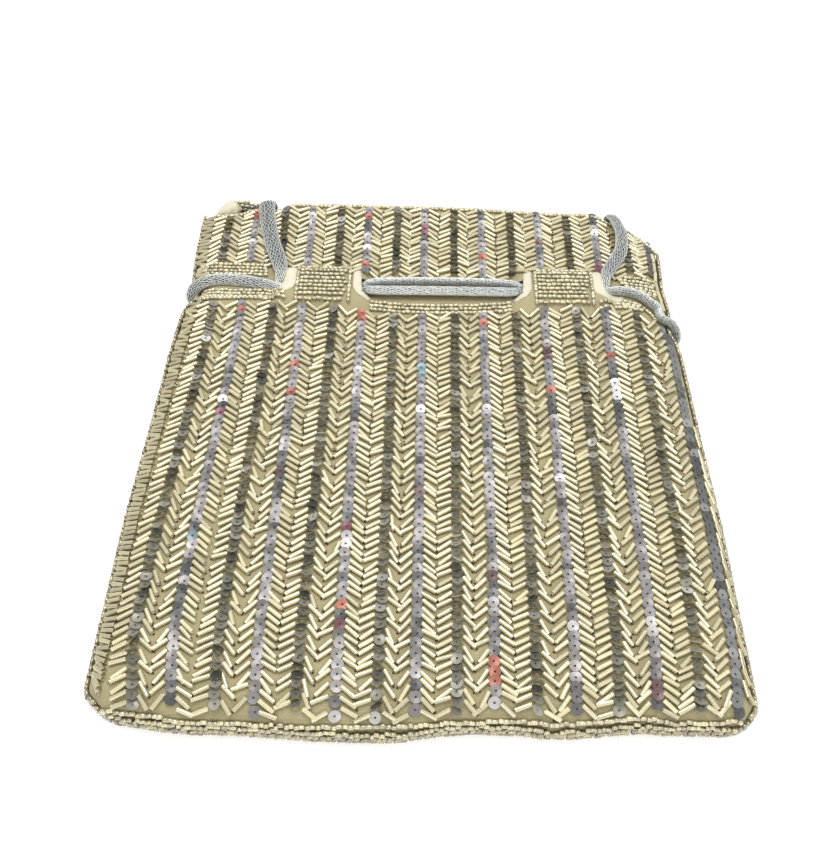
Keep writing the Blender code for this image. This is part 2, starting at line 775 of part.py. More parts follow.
# Bead rows on the edges and the mouth
edge_beads("front_edge_beads", 1, bag)
edge_beads("back_edge_beads", -1, bag)
mouth_beads("front_mouth_beads", front_height, 1, bag)
mouth_beads("back_mouth_beads", back_height, -1, bag)

# What lies on each outer panel: bead bands along the casing, bead blocks and slit facings
for face, height, facing in (("front", front_height, 1), ("back", back_height, -1)):
    reach = along(WIDTH_STATIONS, CORD_Y) - BAND_INSET
    columns = [-reach, *[x for x in panel_columns(facing) if abs(x) < reach], reach]
    for place, rows in (("upper", BAND_ROWS[4:]), ("lower", BAND_ROWS[:2])):
        strip(f"{face}_{place}_casing_beads", height, columns, rows, GAP, BEAD_PAD, facing, bag, seed_beads())
    for k, (a, b) in enumerate(((SLITS[0], SLITS[1]), (SLITS[2], SLITS[3]))):
        inset = SLIT_WIDE / 2 + FACING_WIDE + GAP
        ends = sorted((facing * (a + inset), facing * (b - inset)))
        xs = [ends[0], sum(ends) / 2, ends[1]]
        ys = (BAND_ROWS[1] + GAP, BAND_ROWS[2], BAND_ROWS[3], BAND_ROWS[4] - GAP)
        side = "left" if (ends[0] < 0) else "right"
        strip(f"{face}_{side}_bead_block", height, xs, ys, GAP, BEAD_PAD, facing, bag, seed_beads())
    for k, slit in enumerate(SLITS):
        inward = 1 if k in (0, 2) else -1
        near = slit + inward * SLIT_WIDE / 2
        xs = sorted((facing * near, facing * (near + inward * FACING_WIDE)))
        arm = HALF_TALL + FACING_ARM
        ys = (CORD_Y - arm, CORD_Y - HALF_TALL, CORD_Y + HALF_TALL, CORD_Y + arm)
        name = f"{face}_slit_facing_{k + 1}"
        strip(name, height, xs, ys, GAP, FACING_THICK, facing, bag, cream_cloth())

# Sequin stripes of the front
for k, x in enumerate(STRIPE_PLACES):
    ys = [PANEL_BOTTOM + share * CORNER for share in EDGE_SHARES[4:]]
    ys += [*FIELD_ROWS[:4], BAND_START, BAND_START + STRIPE_TUCK]
    xs = (x - STRIPE_WIDE / 2, x, x + STRIPE_WIDE / 2)
    name = f"front_sequin_stripe_{k + 1:02d}"
    strip(name, front_height, xs, ys, GAP, STRIPE_THICK, 1, bag, sequins(), shift=stripe_shift)

# Drawcords, handle loops and knots
step = STEP_SHARE * CORD
left_route, right_route = drawcord_routes()
total = {}
for name, route in (("left_drawcord", left_route), ("right_drawcord", right_route)):
    line = smooth_line(route, step)
    total[name] = length_of(line)
    tube(name, line, CORD_R, 2, bag, cord_mesh())
for word, side, rim_x, back_x in (("left", -1, -0.0694, -0.0795), ("right", 1, 0.0770, 0.0672)):
    routes = handle_routes(side, rim_x, back_x)
    for place, route in zip(("front", "back"), routes):
        line = smooth_line(route, step)
        name = f"{word}_handle_{place}_strand"
        total[name] = length_of(line)
        tube(name, line, CORD_R, 2, bag, cord_mesh())
    knot(f"{word}_knot", side, bag)
for name, value in total.items():
    print(f"{name}: {value:.4f} m")
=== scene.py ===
# %% [markdown]
# A beaded potli bag lies flat for its portrait. The solids of the bag are already packed, so this
# lesson dresses them: cloth, some four and a half thousand glass bugle beads in herringbone,
# stripes of sequins, strings of seed beads, a satin lining and two knitted silver cords.
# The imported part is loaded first, because every piece below takes its place from it.

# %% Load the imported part
import math
import random

import bmesh
import bpy
from mathutils import Matrix, Vector, noise


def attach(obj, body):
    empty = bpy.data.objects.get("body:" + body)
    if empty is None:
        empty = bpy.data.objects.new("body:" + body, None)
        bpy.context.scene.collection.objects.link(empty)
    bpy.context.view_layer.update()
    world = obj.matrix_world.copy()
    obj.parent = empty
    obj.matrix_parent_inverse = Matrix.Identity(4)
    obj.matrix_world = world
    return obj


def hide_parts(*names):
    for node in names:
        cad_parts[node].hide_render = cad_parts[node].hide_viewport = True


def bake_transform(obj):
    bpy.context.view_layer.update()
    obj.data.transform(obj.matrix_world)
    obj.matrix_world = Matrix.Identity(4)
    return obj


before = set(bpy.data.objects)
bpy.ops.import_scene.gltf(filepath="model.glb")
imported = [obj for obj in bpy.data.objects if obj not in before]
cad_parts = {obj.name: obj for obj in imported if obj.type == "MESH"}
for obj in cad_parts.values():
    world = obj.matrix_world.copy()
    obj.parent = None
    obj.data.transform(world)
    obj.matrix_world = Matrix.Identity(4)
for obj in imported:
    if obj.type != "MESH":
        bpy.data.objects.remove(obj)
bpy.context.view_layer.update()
scene = bpy.context.scene

# %% [markdown]
# Every object is linked to the scene in the same way, every bmesh becomes a mesh in the same way,
# and every node is wired in the same way, so each of these is written once. An input is either a
# plain value or another node's output, and the helper tells which it was given.


# %% Helpers for objects and nodes
def in_scene(name, data):
    """A new object of the scene."""
    made = bpy.data.objects.new(name, data)
    scene.collection.objects.link(made)
    return made


def as_mesh(name, work):
    """The mesh that a bmesh becomes."""
    mesh = bpy.data.meshes.new(name)
    work.to_mesh(mesh)
    work.free()
    return mesh


def wired(tree, made, inputs):
    """A node with its inputs given: each a value, or another node's output."""
    for socket, value in inputs.items():
        if isinstance(value, bpy.types.NodeSocket):
            tree.links.new(value, made.inputs[socket])
        else:
            made.inputs[socket].default_value = value
    return made


def node(tree, kind, inputs, operation=None):
    """A new node of a tree, wired."""
    made = tree.nodes.new(kind)
    if operation:
        made.operation = operation
    return wired(tree, made, inputs)


# %% [markdown]
# The camera comes first, since it decides what shows. It stands in front of the bag's foot and
# looks down by 52 degrees, as in the photograph, with the bag filling most of the frame. The
# Standard view shows a colour about as it is written.

# %% Camera
CAMERA_PLACE = (0.00085, -0.2258, 0.3038)
CAMERA_DOWN = math.radians(52.31)
CAMERA_LEFT = math.radians(1.16)
CAMERA_LENS = 43.65

lens = bpy.data.cameras.new("portrait")
lens.lens = CAMERA_LENS
lens.sensor_width = 36.0
lens.sensor_fit = "HORIZONTAL"
lens.clip_start = 0.01
camera = in_scene("portrait", lens)
camera.location = CAMERA_PLACE
camera.rotation_euler = (math.pi / 2 - CAMERA_DOWN, 0.0, CAMERA_LEFT)
scene.camera = camera
scene.view_settings.view_transform = "Standard"

# %% [markdown]
# One large soft box above the mouth gives the long soft shine on the glass. A weaker one on the
# right fills the shadows, and a small one in front lifts the foot. The room behind them is white
# by itself for the camera and in reflections, and grey where it only lights the bag, because a
# white room would wash out the cloth between the beads.

# %% Lamps and world
WHITE = (1.0, 1.0, 1.0, 1.0)
WORLD_GREY = 0.65
LAMPS_AIM = (0.0, 0.0, 0.01)
LAMPS = (
    ("key_softbox", (-0.06, 0.16, 0.84), 0.48, 4.4),
    ("fill_softbox", (0.50, -0.35, 0.65), 0.50, 0.9),
    ("foot_softbox", (-0.05, -0.62, 0.27), 0.14, 0.35),
)

for name, place, size, power in LAMPS:
    lamp = bpy.data.lights.new(name, "AREA")
    lamp.size = size
    lamp.energy = power
    box = in_scene(name, lamp)
    box.location = place
    box.rotation_euler = (Vector(LAMPS_AIM) - Vector(place)).to_track_quat("-Z", "Y").to_euler()


def shown_white(tree, output, usual, white):
    """Wire in the white shader for rays that see the background, and the usual one for the rest."""
    rays = tree.nodes.new("ShaderNodeLightPath").outputs
    seen = rays["Is Camera Ray"]
    for other in ("Is Glossy Ray", "Is Transmission Ray"):
        seen = node(tree, "ShaderNodeMath", {0: seen, 1: rays[other]}, "MAXIMUM").outputs[0]
    choice = node(tree, "ShaderNodeMixShader", {0: seen, 1: usual.outputs[0], 2: white.outputs[0]})
    node(tree, output, {"Surface": choice.outputs[0]})


world = bpy.data.worlds.new("studio")
scene.world = world
world.use_nodes = True
tree = world.node_tree
tree.nodes.clear()
plain = node(tree, "ShaderNodeBackground", {"Color": WHITE, "Strength": WORLD_GREY})
white = node(tree, "ShaderNodeBackground", {"Color": WHITE, "Strength": 1.0})
shown_white(tree, "ShaderNodeOutputWorld", plain, white)

# %% [markdown]
# The floor is a plain sheet of white paper. It glows for the camera and in reflections, and
# elsewhere it is an ordinary pale surface, so that it is white and the bag keeps its shadow.

# %% Floor
FLOOR_REACH = 3.0
PAPER_COLOUR = (0.86, 0.86, 0.86, 1.0)
PAPER_GLOW = 0.55

work = bmesh.new()
bmesh.ops.create_grid(work, x_segments=1, y_segments=1, size=FLOOR_REACH)
floor = in_scene("floor", as_mesh("floor", work))
paper = bpy.data.materials.new("white_paper")
paper.use_nodes = True
tree = paper.node_tree
tree.nodes.clear()
matt = node(tree, "ShaderNodeBsdfDiffuse", {"Color": PAPER_COLOUR})
glow = node(tree, "ShaderNodeEmission", {"Strength": PAPER_GLOW})
both = node(tree, "ShaderNodeAddShader", {0: matt.outputs[0], 1: glow.outputs[0]})
shown_white(tree, "ShaderNodeOutputMaterial", matt, both)
floor.data.materials.append(paper)
print("camera at", CAMERA_PLACE, "with", len(LAMPS), "lamps")

# %% [markdown]
# The bag's form is worked out from a few sizes, the same ones that its solids were made from. The
# front is a low pillow whose top is flat and whose edges turn down to the side seams. A casing
# crosses it below the mouth, and there the cloth swells over the cords in two blocks. The back is
# the front turned over, so a place on either face is given as it is seen from outside that face.
# Cloth is never quite even: short tables say how far the rim sinks or lifts and how the seam at
# the foot wanders, and between two of their stations the value runs straight.

# %% Sizes of the bag
HALF_LENGTH = 0.116
HALF_WIDTH = 0.1028
CORNER = 0.011
SEAM_LIP = 0.0006
FRONT_TOP = 0.0138
BACK_FIELD = 0.0018
BACK_BAND = 0.00435
BACK_HEADING = 0.0047
BACK_LEVELS = ((0.030, BACK_FIELD), (0.048, BACK_BAND), (0.088, BACK_HEADING))
FOOT = -HALF_LENGTH + 0.00245
RIM = HALF_LENGTH - 0.0012
WIDTH_SHARES = (
    (-1.0, 1.0), (-0.34, 0.997), (0.0, 0.982), (0.30, 0.965), (0.52, 0.944), (0.62, 0.934),
    (0.79, 0.942), (1.0, 0.942),
)
WIDTHS = tuple((place * HALF_LENGTH, share * HALF_WIDTH) for place, share in WIDTH_SHARES)
SEAM_HEIGHTS = ((0.0, 0.0055), (0.048, 0.0087), (0.088, 0.0093))

CORD_Y = 0.0667
CORD_PITCH = 0.0049
BLOCK_RISE = 0.0033
SLITS = (-0.0608, -0.0242, 0.0370, 0.0736)
HALF_STEP = 0.0026
BAND_FLAT = 0.00705
BAND_FADE = 0.0130
HEADING_LOW = 0.088
RIM_DROPS = (
    (0.0761, 0.0), (0.0812, 0.0010), (0.0843, 0.0036), (0.0874, 0.0072), (0.0920, 0.0115),
    (0.0956, 0.0170), (0.0972, 0.0228),
)
RIM_RECESS = (
    (-0.0985, 0.0042), (-0.0880, 0.0036), (-0.0800, 0.0030), (-0.0765, 0.0), (-0.0640, 0.0),
    (-0.0580, -0.0010), (0.0, -0.0008), (0.0500, 0.0),
)
RIM_LIFTS = (
    (-0.0650, 0.0), (-0.0590, 0.0026), (-0.0200, 0.0022), (0.0100, 0.0016), (0.0350, 0.0008),
    (0.0550, 0.0),
)
RIM_LIFT_FROM, RIM_LIFT_OVER = 0.096, 0.019
FOOT_LINE = (
    (-0.0995, 0.0040), (-0.0914, 0.0022), (-0.0853, 0.0014), (-0.0790, 0.0006),
    (-0.0730, -0.0004), (-0.0610, -0.0002), (-0.0490, -0.0006), (-0.0350, -0.0014),
    (-0.0196, -0.0018), (-0.0043, -0.0016), (0.0034, 0.0002), (0.0100, 0.0012),
    (0.0156, 0.0016), (0.0310, 0.0014), (0.0400, 0.0003), (0.0500, 0.0010), (0.0584, 0.0018),
    (0.0660, 0.0030), (0.0752, 0.0022), (0.0875, 0.0025), (0.0966, 0.0022),
)
FOOT_FADE = 0.014
RIM_PRESS = (0.0790, 0.0048, 0.0055)
CORNER_DROOP = 0.0044
PINCHES = ((-1, 0.0650, 0.0040), (1, 0.0490, 0.0022))
PINCH_REACH = 0.0055


def along(stations, at):
    """The value at a place along (place, value) stations, straight between them."""
    if at <= stations[0][0]:
        return stations[0][1]
    for (a, low), (b, high) in zip(stations, stations[1:]):
        if at <= b:
            return low + (high - low) * (at - a) / (b - a)
    return stations[-1][1]


def eased(t):
    """A step from 0 to 1 with soft ends."""
    t = min(1.0, max(0.0, t))
    return t * t * (3.0 - 2.0 * t)


def half_width(y):
    """Half the cloth's width, drawn in round the bottom corners."""
    foot = min(CORNER, max(0.0, y - FOOT))
    return along(WIDTHS, y) - CORNER + math.sqrt(CORNER * CORNER - (CORNER - foot) ** 2)


def pillow(x, y):
    """0 on the seam and 1 where the face is flat."""
    side = along(WIDTHS, y) - abs(x)
    foot = y - FOOT
    away = math.hypot(max(0.0, CORNER - side), max(0.0, CORNER - foot)) / CORNER
    return math.sqrt(max(0.0, 1.0 - away * away))


def band_share(y):
    """How far the cloth swells over the cords at a place along the bag."""
    return 1.0 - eased((abs(y - CORD_Y) - BAND_FLAT) / (BAND_FADE - BAND_FLAT))


def block_share(x):
    """How far the cloth swells over the cords across it: 1 on the two blocks."""
    share = 0.0
    for a, b in ((SLITS[0], SLITS[1]), (SLITS[2], SLITS[3])):
        rise = eased((x - a + HALF_STEP) / (2 * HALF_STEP))
        share += rise * (1.0 - eased((x - b + HALF_STEP) / (2 * HALF_STEP)))
    return share


def rim_drop(face, x):
    """How far the mouth's edge is drawn down: at its right corner, and at the front's left corner."""
    place, deep, reach = RIM_PRESS
    drop = along(RIM_DROPS, face * x) + deep * math.exp(-(((face * x - place) / reach) ** 2))
    return drop + along(RIM_RECESS, x) if face > 0 else drop


def rim_at(face, x):
    """How far along the bag a face's cloth reaches."""
    return RIM - rim_drop(face, x)


def ripple(x, y):
    """The front cloth's slight unevenness."""
    return 0.0005 * noise.noise(Vector((x * 24.0, y * 17.0, 3.0)))


def droop(x, y):
    """How far the front hangs down at the mouth's right corner."""
    return CORNER_DROOP * eased((x - 0.074) / 0.018) * eased((y - 0.084) / 0.020)


def pinched(x, y):
    """A place's x in space, drawn in near an edge where a cord goes round it."""
    for side, place, deep in PINCHES:
        near = eased((side * x - 0.076) / 0.022)
        x -= side * deep * near * math.exp(-(((y - place) / PINCH_REACH) ** 2))
    return x


def footed(x, y):
    """A place's way along the bag in space, since the seam at the foot isn't quite straight."""
    return y + along(FOOT_LINE, x) * (1.0 - eased((y - FOOT) / FOOT_FADE))


def skin(face, x, y):
    """The height of a face's cloth above the table. x is as seen from outside the face."""
    low = along(SEAM_HEIGHTS, y) + face * SEAM_LIP
    swell = BLOCK_RISE * block_share(x) * band_share(y)
    if face > 0:
        lift = along(RIM_LIFTS, x) * eased((y - RIM_LIFT_FROM) / RIM_LIFT_OVER)
        high = FRONT_TOP + swell + ripple(x, y) - droop(x, y) + lift
    else:
        high = along(BACK_LEVELS, y) - swell
    return low + (high - low) * pillow(x, y)


FACES = {"front": 1, "back": -1}
print("cloth is", 2 * HALF_WIDTH, "m wide at the foot; the front stands at", FRONT_TOP)

# %% [markdown]
# Finishes come next. One node group makes the small unevenness that all of them share, so that no
# surface is one flat colour. Beads and sequins each carry a colour of their own in an attribute
# named paint, which their material reads.


# %% A group of fine variation
GRAIN_SCALE = 2500.0


def fine_variation():
    """A group that gives a colour with soft mottling and a height of fine grain."""
    group = bpy.data.node_groups.new("fine_variation", "ShaderNodeTree")
    for name, way, kind in (
        ("Colour", "INPUT", "NodeSocketColor"),
        ("Mottle", "INPUT", "NodeSocketFloat"),
        ("Scale", "INPUT", "NodeSocketFloat"),
        ("Colour", "OUTPUT", "NodeSocketColor"),
        ("Grain", "OUTPUT", "NodeSocketFloat"),
    ):
        group.interface.new_socket(name, in_out=way, socket_type=kind)
    given = group.nodes.new("NodeGroupInput").outputs
    where = group.nodes.new("ShaderNodeTexCoord").outputs["Object"]
    cloud = node(group, "ShaderNodeTexNoise", {"Vector": where, "Scale": given["Scale"], "Detail": 4.0})
    grain = node(group, "ShaderNodeTexNoise", {"Vector": where, "Scale": GRAIN_SCALE})
    around = node(group, "ShaderNodeMath", {0: cloud.outputs["Fac"], 1: 0.5}, "SUBTRACT")
    amount = {0: around.outputs[0], 1: given["Mottle"], 2: 1.0}
    amount = node(group, "ShaderNodeMath", amount, "MULTIPLY_ADD")
    shade = {0: given["Colour"], "Scale": amount.outputs[0]}
    shade = node(group, "ShaderNodeVectorMath", shade, "SCALE")
    node(group, "NodeGroupOutput", {"Colour": shade.outputs[0], "Grain": grain.outputs["Fac"]})
    return group


variation = fine_variation()

# %% [markdown]
# All finishes are the same few nodes with other values: the group's colour goes into the main
# shader, and its grain into a shallow bump. Glass beads get a clear coat over a slightly metallic
# body, which is how silver-lined glass looks without thousands of real refractions.

# %% A helper for materials
COAT_ROUGHNESS = 0.1
COAT_IOR = 1.8
GRAIN_DEEP = 0.0002


def finish(name, colour, roughness, metallic=0.0, coat=0.0, painted=False, mottle=0.35, scale=90.0, bump=0.05):
    """A material with mottled colour and fine grain; painted ones take each piece's own colour."""
    made = bpy.data.materials.new(name)
    made.use_nodes = True
    tree = made.node_tree
    group = tree.nodes.new("ShaderNodeGroup")
    group.node_tree = variation
    wired(tree, group, {"Colour": (*colour, 1.0), "Mottle": mottle, "Scale": scale})
    if painted:
        paint = tree.nodes.new("ShaderNodeAttribute")
        paint.attribute_name = "paint"
        wired(tree, group, {"Colour": paint.outputs["Color"]})
    dent = {"Strength": bump, "Distance": GRAIN_DEEP, "Height": group.outputs["Grain"]}
    dent = node(tree, "ShaderNodeBump", dent)
    main = {"Base Color": group.outputs["Colour"], "Normal": dent.outputs["Normal"]}
    main |= {"Roughness": roughness, "Metallic": metallic}
    main |= {"Coat Weight": coat, "Coat Roughness": COAT_ROUGHNESS, "Coat IOR": COAT_IOR}
    wired(tree, tree.nodes["Principled BSDF"], main)
    return made


def rgb(red, green, blue):
    """A linear colour from the 0 to 255 values that a picture shows."""
    return tuple(((v / 255 + 0.055) / 1.055) ** 2.4 if v > 10 else v / 255 / 12.92 for v in (red, green, blue))


# %% [markdown]
# The khaki ground is a fine plain weave, which shows between the beads. Two wave textures at right
# angles give its threads, and the higher of the two at each spot is the thread on top. They read
# Object coordinates, so the weave stays on the cloth.


# %% Woven cloth
def woven(name, colour, threads, sheen, roughness):
    """A cloth material whose threads run along X and Y."""
    made = finish(name, colour, roughness, scale=60.0)
    tree = made.node_tree
    wired(tree, tree.nodes["Principled BSDF"], {"Sheen Weight": sheen, "Sheen Roughness": 0.4})
    where = tree.nodes.new("ShaderNodeTexCoord").outputs["Object"]
    heights = {}
    for number, direction in enumerate(("X", "Y")):
        look = {"Vector": where, "Scale": threads, "Distortion": 1.2, "Detail Scale": 0.6}
        wave = node(tree, "ShaderNodeTexWave", look)
        wave.bands_direction = direction
        heights[number] = wave.outputs["Fac"]
    upper = node(tree, "ShaderNodeMath", heights, "MAXIMUM")
    dent = next(n for n in tree.nodes if n.bl_idname == "ShaderNodeBump")
    wired(tree, dent, {"Strength": 0.5, "Height": upper.outputs[0]})
    return made


ground_cloth = woven("khaki_ground_cloth", rgb(173, 163, 125), 340.0, 0.1, 0.75)
lining_cloth = woven("cream_satin_lining", rgb(226, 219, 196), 420.0, 0.3, 0.55)
GLASS = {"metallic": 0.35, "coat": 1.0, "painted": True, "mottle": 0.25, "bump": 0.0}
bugle_glass = finish("champagne_bugle_glass", rgb(206, 194, 152), 0.24, **GLASS)
seed_glass = finish("champagne_seed_glass", rgb(206, 194, 150), 0.14, **GLASS)
sequin_film = finish("sequin_film", rgb(168, 166, 178), 0.38, 0.35, painted=True, mottle=0.3)
knot_thread = finish("brown_knot_thread", rgb(88, 66, 34), 0.8)
cord_silver = finish("silver_thread", rgb(206, 209, 205), 0.36, 0.6, mottle=0.6, scale=900.0)
# The knot's thread is the cord's silver painted darker, as painted shade between its packed wraps.
KNOTTED = {"metallic": 0.35, "mottle": 0.8, "scale": 1300.0, "bump": 0.3}
shaded_knot_silver = finish("knotted_silver_thread", rgb(158, 162, 160), 0.5, **KNOTTED)
# The cord's core is dark as painted shade, the shade in the gaps between the knit's loops.
cord_core = finish("cord_core", rgb(84, 87, 86), 0.6, 0.3)
print("materials:", sorted(made.name for made in bpy.data.materials if made.node_tree))

# %% [markdown]
# A bead is sewn on thousands of times, so its shape is made once, with few faces, and then stamped
# wherever it goes. A cone with equal ends, pushed in at its two holes, is a bugle bead, and with
# softened rims it is a seed bead. A sequin is a disc with a hole, a little cupped, and a tiny ball
# is the knot of thread between two beads.

# %% Bead shapes
BUGLE_LONG = 0.0054
BUGLE_WIDE = 0.0016
SEED_LONG = 0.0019
SEED_WIDE = 0.0015
SEQUIN_WIDE = 0.0039
SEQUIN_HOLE = 0.0008
SEQUIN_THICK = 0.00012
SEQUIN_CUP = 0.00022
KNOT_WIDE = 0.00082
CRISP_FROM = math.radians(50)


def kept_shape(name, work):
    """The object that a bmesh becomes, shaded smooth with crisp rims."""
    work.normal_update()
    mesh = as_mesh(name, work)
    mesh.shade_smooth()
    mesh.set_sharp_from_angle(angle=CRISP_FROM)
    return in_scene(name, mesh)


def glass_tube(name, long, wide, sides, rim):
    """A short tube along X with a hole pressed into each end, and soft rims if rim is over 0."""
    work = bmesh.new()
    half = wide / 2
    bmesh.ops.create_cone(work, cap_ends=True, segments=sides, radius1=half, radius2=half, depth=long)
    if rim:
        rims = [e for f in work.faces if len(f.verts) == sides for e in f.edges]
        bmesh.ops.bevel(work, geom=rims, offset=rim, segments=1, profile=0.5, affect="EDGES", material=-1)
    ends = [f for f in work.faces if len(f.verts) == sides]
    bmesh.ops.inset_region(work, faces=ends, thickness=wide * 0.18)
    for end in ends:
        bmesh.ops.translate(work, vec=-end.normal * wide * 0.35, verts=end.verts)
    quarter = Matrix.Rotation(math.pi / 2, 3, "Y")
    bmesh.ops.rotate(work, cent=(0, 0, 0), matrix=quarter, verts=work.verts)
    return kept_shape(name, work)


def sequin_disc():
    """A thin disc with a hole, slightly cupped."""
    work = bmesh.new()
    bmesh.ops.create_circle(work, cap_ends=True, segments=14, radius=SEQUIN_WIDE / 2)
    whole = list(work.faces)
    breadth = (SEQUIN_WIDE - SEQUIN_HOLE) / 2
    bmesh.ops.inset_region(work, faces=whole, thickness=breadth, use_boundary=True)
    bmesh.ops.delete(work, geom=whole, context="FACES")
    for vert in work.verts:
        if vert.co.length > SEQUIN_WIDE / 4:
            vert.co.z = SEQUIN_CUP
    bmesh.ops.solidify(work, geom=work.faces[:], thickness=SEQUIN_THICK)
    bmesh.ops.recalc_face_normals(work, faces=work.faces)
    return kept_shape("sequin_shape", work)


def thread_knot():
    """A tiny lump of thread."""
    work = bmesh.new()
    bmesh.ops.create_icosphere(work, subdivisions=1, radius=KNOT_WIDE / 2)
    return kept_shape("knot_shape", work)


bugle_shape = glass_tube("bugle_shape", BUGLE_LONG, BUGLE_WIDE, 10, 0.0)
seed_shape = glass_tube("seed_shape", SEED_LONG, SEED_WIDE, 8, SEED_WIDE * 0.15)
sequin_shape = sequin_disc()
knot_shape = thread_knot()
for shape in (bugle_shape, seed_shape, sequin_shape, knot_shape):
    print(shape.name, len(shape.data.polygons), "faces")


# %% [markdown]
# The stamping is left to geometry nodes: each spot is a vertex that carries a turn, a size and a
# colour, and Instance on Points sets a shape there. That is far quicker than an operator for each
# bead. The result is then kept as a plain mesh.


# %% Stamping
def stamping(shape):
    """A geometry node group that sets a shape on every vertex and makes it real."""
    group = bpy.data.node_groups.new("stamp_" + shape.name, "GeometryNodeTree")
    for way in ("INPUT", "OUTPUT"):
        group.interface.new_socket("Geometry", in_out=way, socket_type="NodeSocketGeometry")
    given = group.nodes.new("NodeGroupInput")
    source = node(group, "GeometryNodeObjectInfo", {"Object": shape})
    inputs = {"Points": given.outputs[0], "Instance": source.outputs["Geometry"]}
    for name, socket in (("turn", "Rotation"), ("size", "Scale")):
        value = group.nodes.new("GeometryNodeInputNamedAttribute")
        value.data_type = "FLOAT_VECTOR"
        inputs[socket] = wired(group, value, {"Name": name}).outputs["Attribute"]
    stamp = node(group, "GeometryNodeInstanceOnPoints", inputs)
    real = node(group, "GeometryNodeRealizeInstances", {0: stamp.outputs[0]})
    node(group, "NodeGroupOutput", {0: real.outputs[0]})
    return group


def settled(made, name):
    """The object with its modifiers applied, in place of the one that had them."""
    ready = made.evaluated_get(bpy.context.evaluated_depsgraph_get())
    mesh = bpy.data.meshes.new_from_object(ready)
    mesh.name = name
    final = in_scene(name, mesh)
    bpy.data.objects.remove(made, do_unlink=True)
    return final


def stamped(name, shape, spots, material):
    """One piece with a shape at each spot: (place, turned basis, sizes, colour)."""
    work = bmesh.new()
    turn = work.verts.layers.float_vector.new("turn")
    size = work.verts.layers.float_vector.new("size")
    paint = work.verts.layers.float_color.new("paint")
    for place, basis, sizes, colour in spots:
        vert = work.verts.new(place)
        vert[turn] = Vector(basis.to_euler())
        vert[size] = Vector(sizes)
        vert[paint] = (*colour, 1.0)
    made = in_scene(name + "_spots", as_mesh(name + "_spots", work))
    made.modifiers.new("stamp", "NODES").node_group = stamping(shape)
    final = settled(made, name)
    for spare in ("turn", "size"):
        final.data.attributes.remove(final.data.attributes[spare])
    final.data.materials.clear()
    final.data.materials.append(material)
    print(name, len(spots), "set,", len(final.data.polygons), "faces")
    return final


# %% [markdown]
# A bead is told where to go as it is seen on the cloth: how far across, how far along, and turned
# by how much. Its place in space comes from the bag's form, and its tilt from two small steps over
# the cloth. A second helper says what every finished piece rides on and which imported solids it
# takes the place of.


# %% Places on the cloth
def basis_at(face, x, y):
    """A face's own right, up and outward directions at a place."""
    near = 0.0004
    rise = skin(face, x + near, y) - skin(face, x - near, y)
    right = Vector((face * 2 * near, 0.0, rise)).normalized()
    rise = skin(face, x, y + near) - skin(face, x, y - near)
    up = Vector((0.0, 2 * near, rise)).normalized()
    out = right.cross(up).normalized()
    up = out.cross(right)
    return Matrix((right, up, out)).transposed()


def in_space(face, x, y, level):
    """A place on a face, at a height, with its edges pinched and its foot as the seam runs."""
    return Vector((pinched(face * x, y), footed(face * x, y), level))


def spot(face, x, y, turn, lift, leans=(0.0, 0.0), sizes=(1.0, 1.0, 1.0), colour=(1.0, 1.0, 1.0)):
    """A spot on a face: turned about its outward direction, then leaned about its own X and Y."""
    basis = basis_at(face, x, y)
    place = in_space(face, x, y, skin(face, x, y)) + basis.col[2] * lift
    turned = basis @ Matrix.Rotation(turn, 3, "Z")
    turned = turned @ Matrix.Rotation(leans[0], 3, "X") @ Matrix.Rotation(leans[1], 3, "Y")
    return place, turned, sizes, colour


def tinted(colour, dice, spread):
    """A colour made a little lighter or darker by chance."""
    share = 1.0 + dice.uniform(-spread, spread)
    return tuple(min(1.0, v * share) for v in colour)


def worn(piece, slot, *solids):
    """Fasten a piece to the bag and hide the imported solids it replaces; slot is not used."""
    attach(piece, "bag")
    if solids:
        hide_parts(*solids)


def walled(made, thick, offset):
    """The piece with a wall's thickness given to its single sheet of faces."""
    wall = made.modifiers.new("thickness", "SOLIDIFY")
    wall.thickness = thick
    wall.offset = offset
    return settled(made, made.name)


# %% [markdown]
# The ground cloth of each face is a grid with its outline drawn in at the corners. It is cut along
# the four slits while it is flat, the slits' faces are taken out, and then it is lifted onto the
# bag's form and given its thickness. A cloth simulation could drape it, but a bag pulled flat over
# its seams has a form that is known, so the form is written down instead. The lining is made the
# same way, a little inside it.

# %% Cloth
CLOTH_THICK = 0.0005
CLOTH_CELLS = 96
SLIT_HALF_WIDE = 0.0021
SLIT_HALF_TALL = 0.0040
LINING_INSET = 0.0015
EDGE_PACK = 0.6
MOUTH_PACK = 0.3


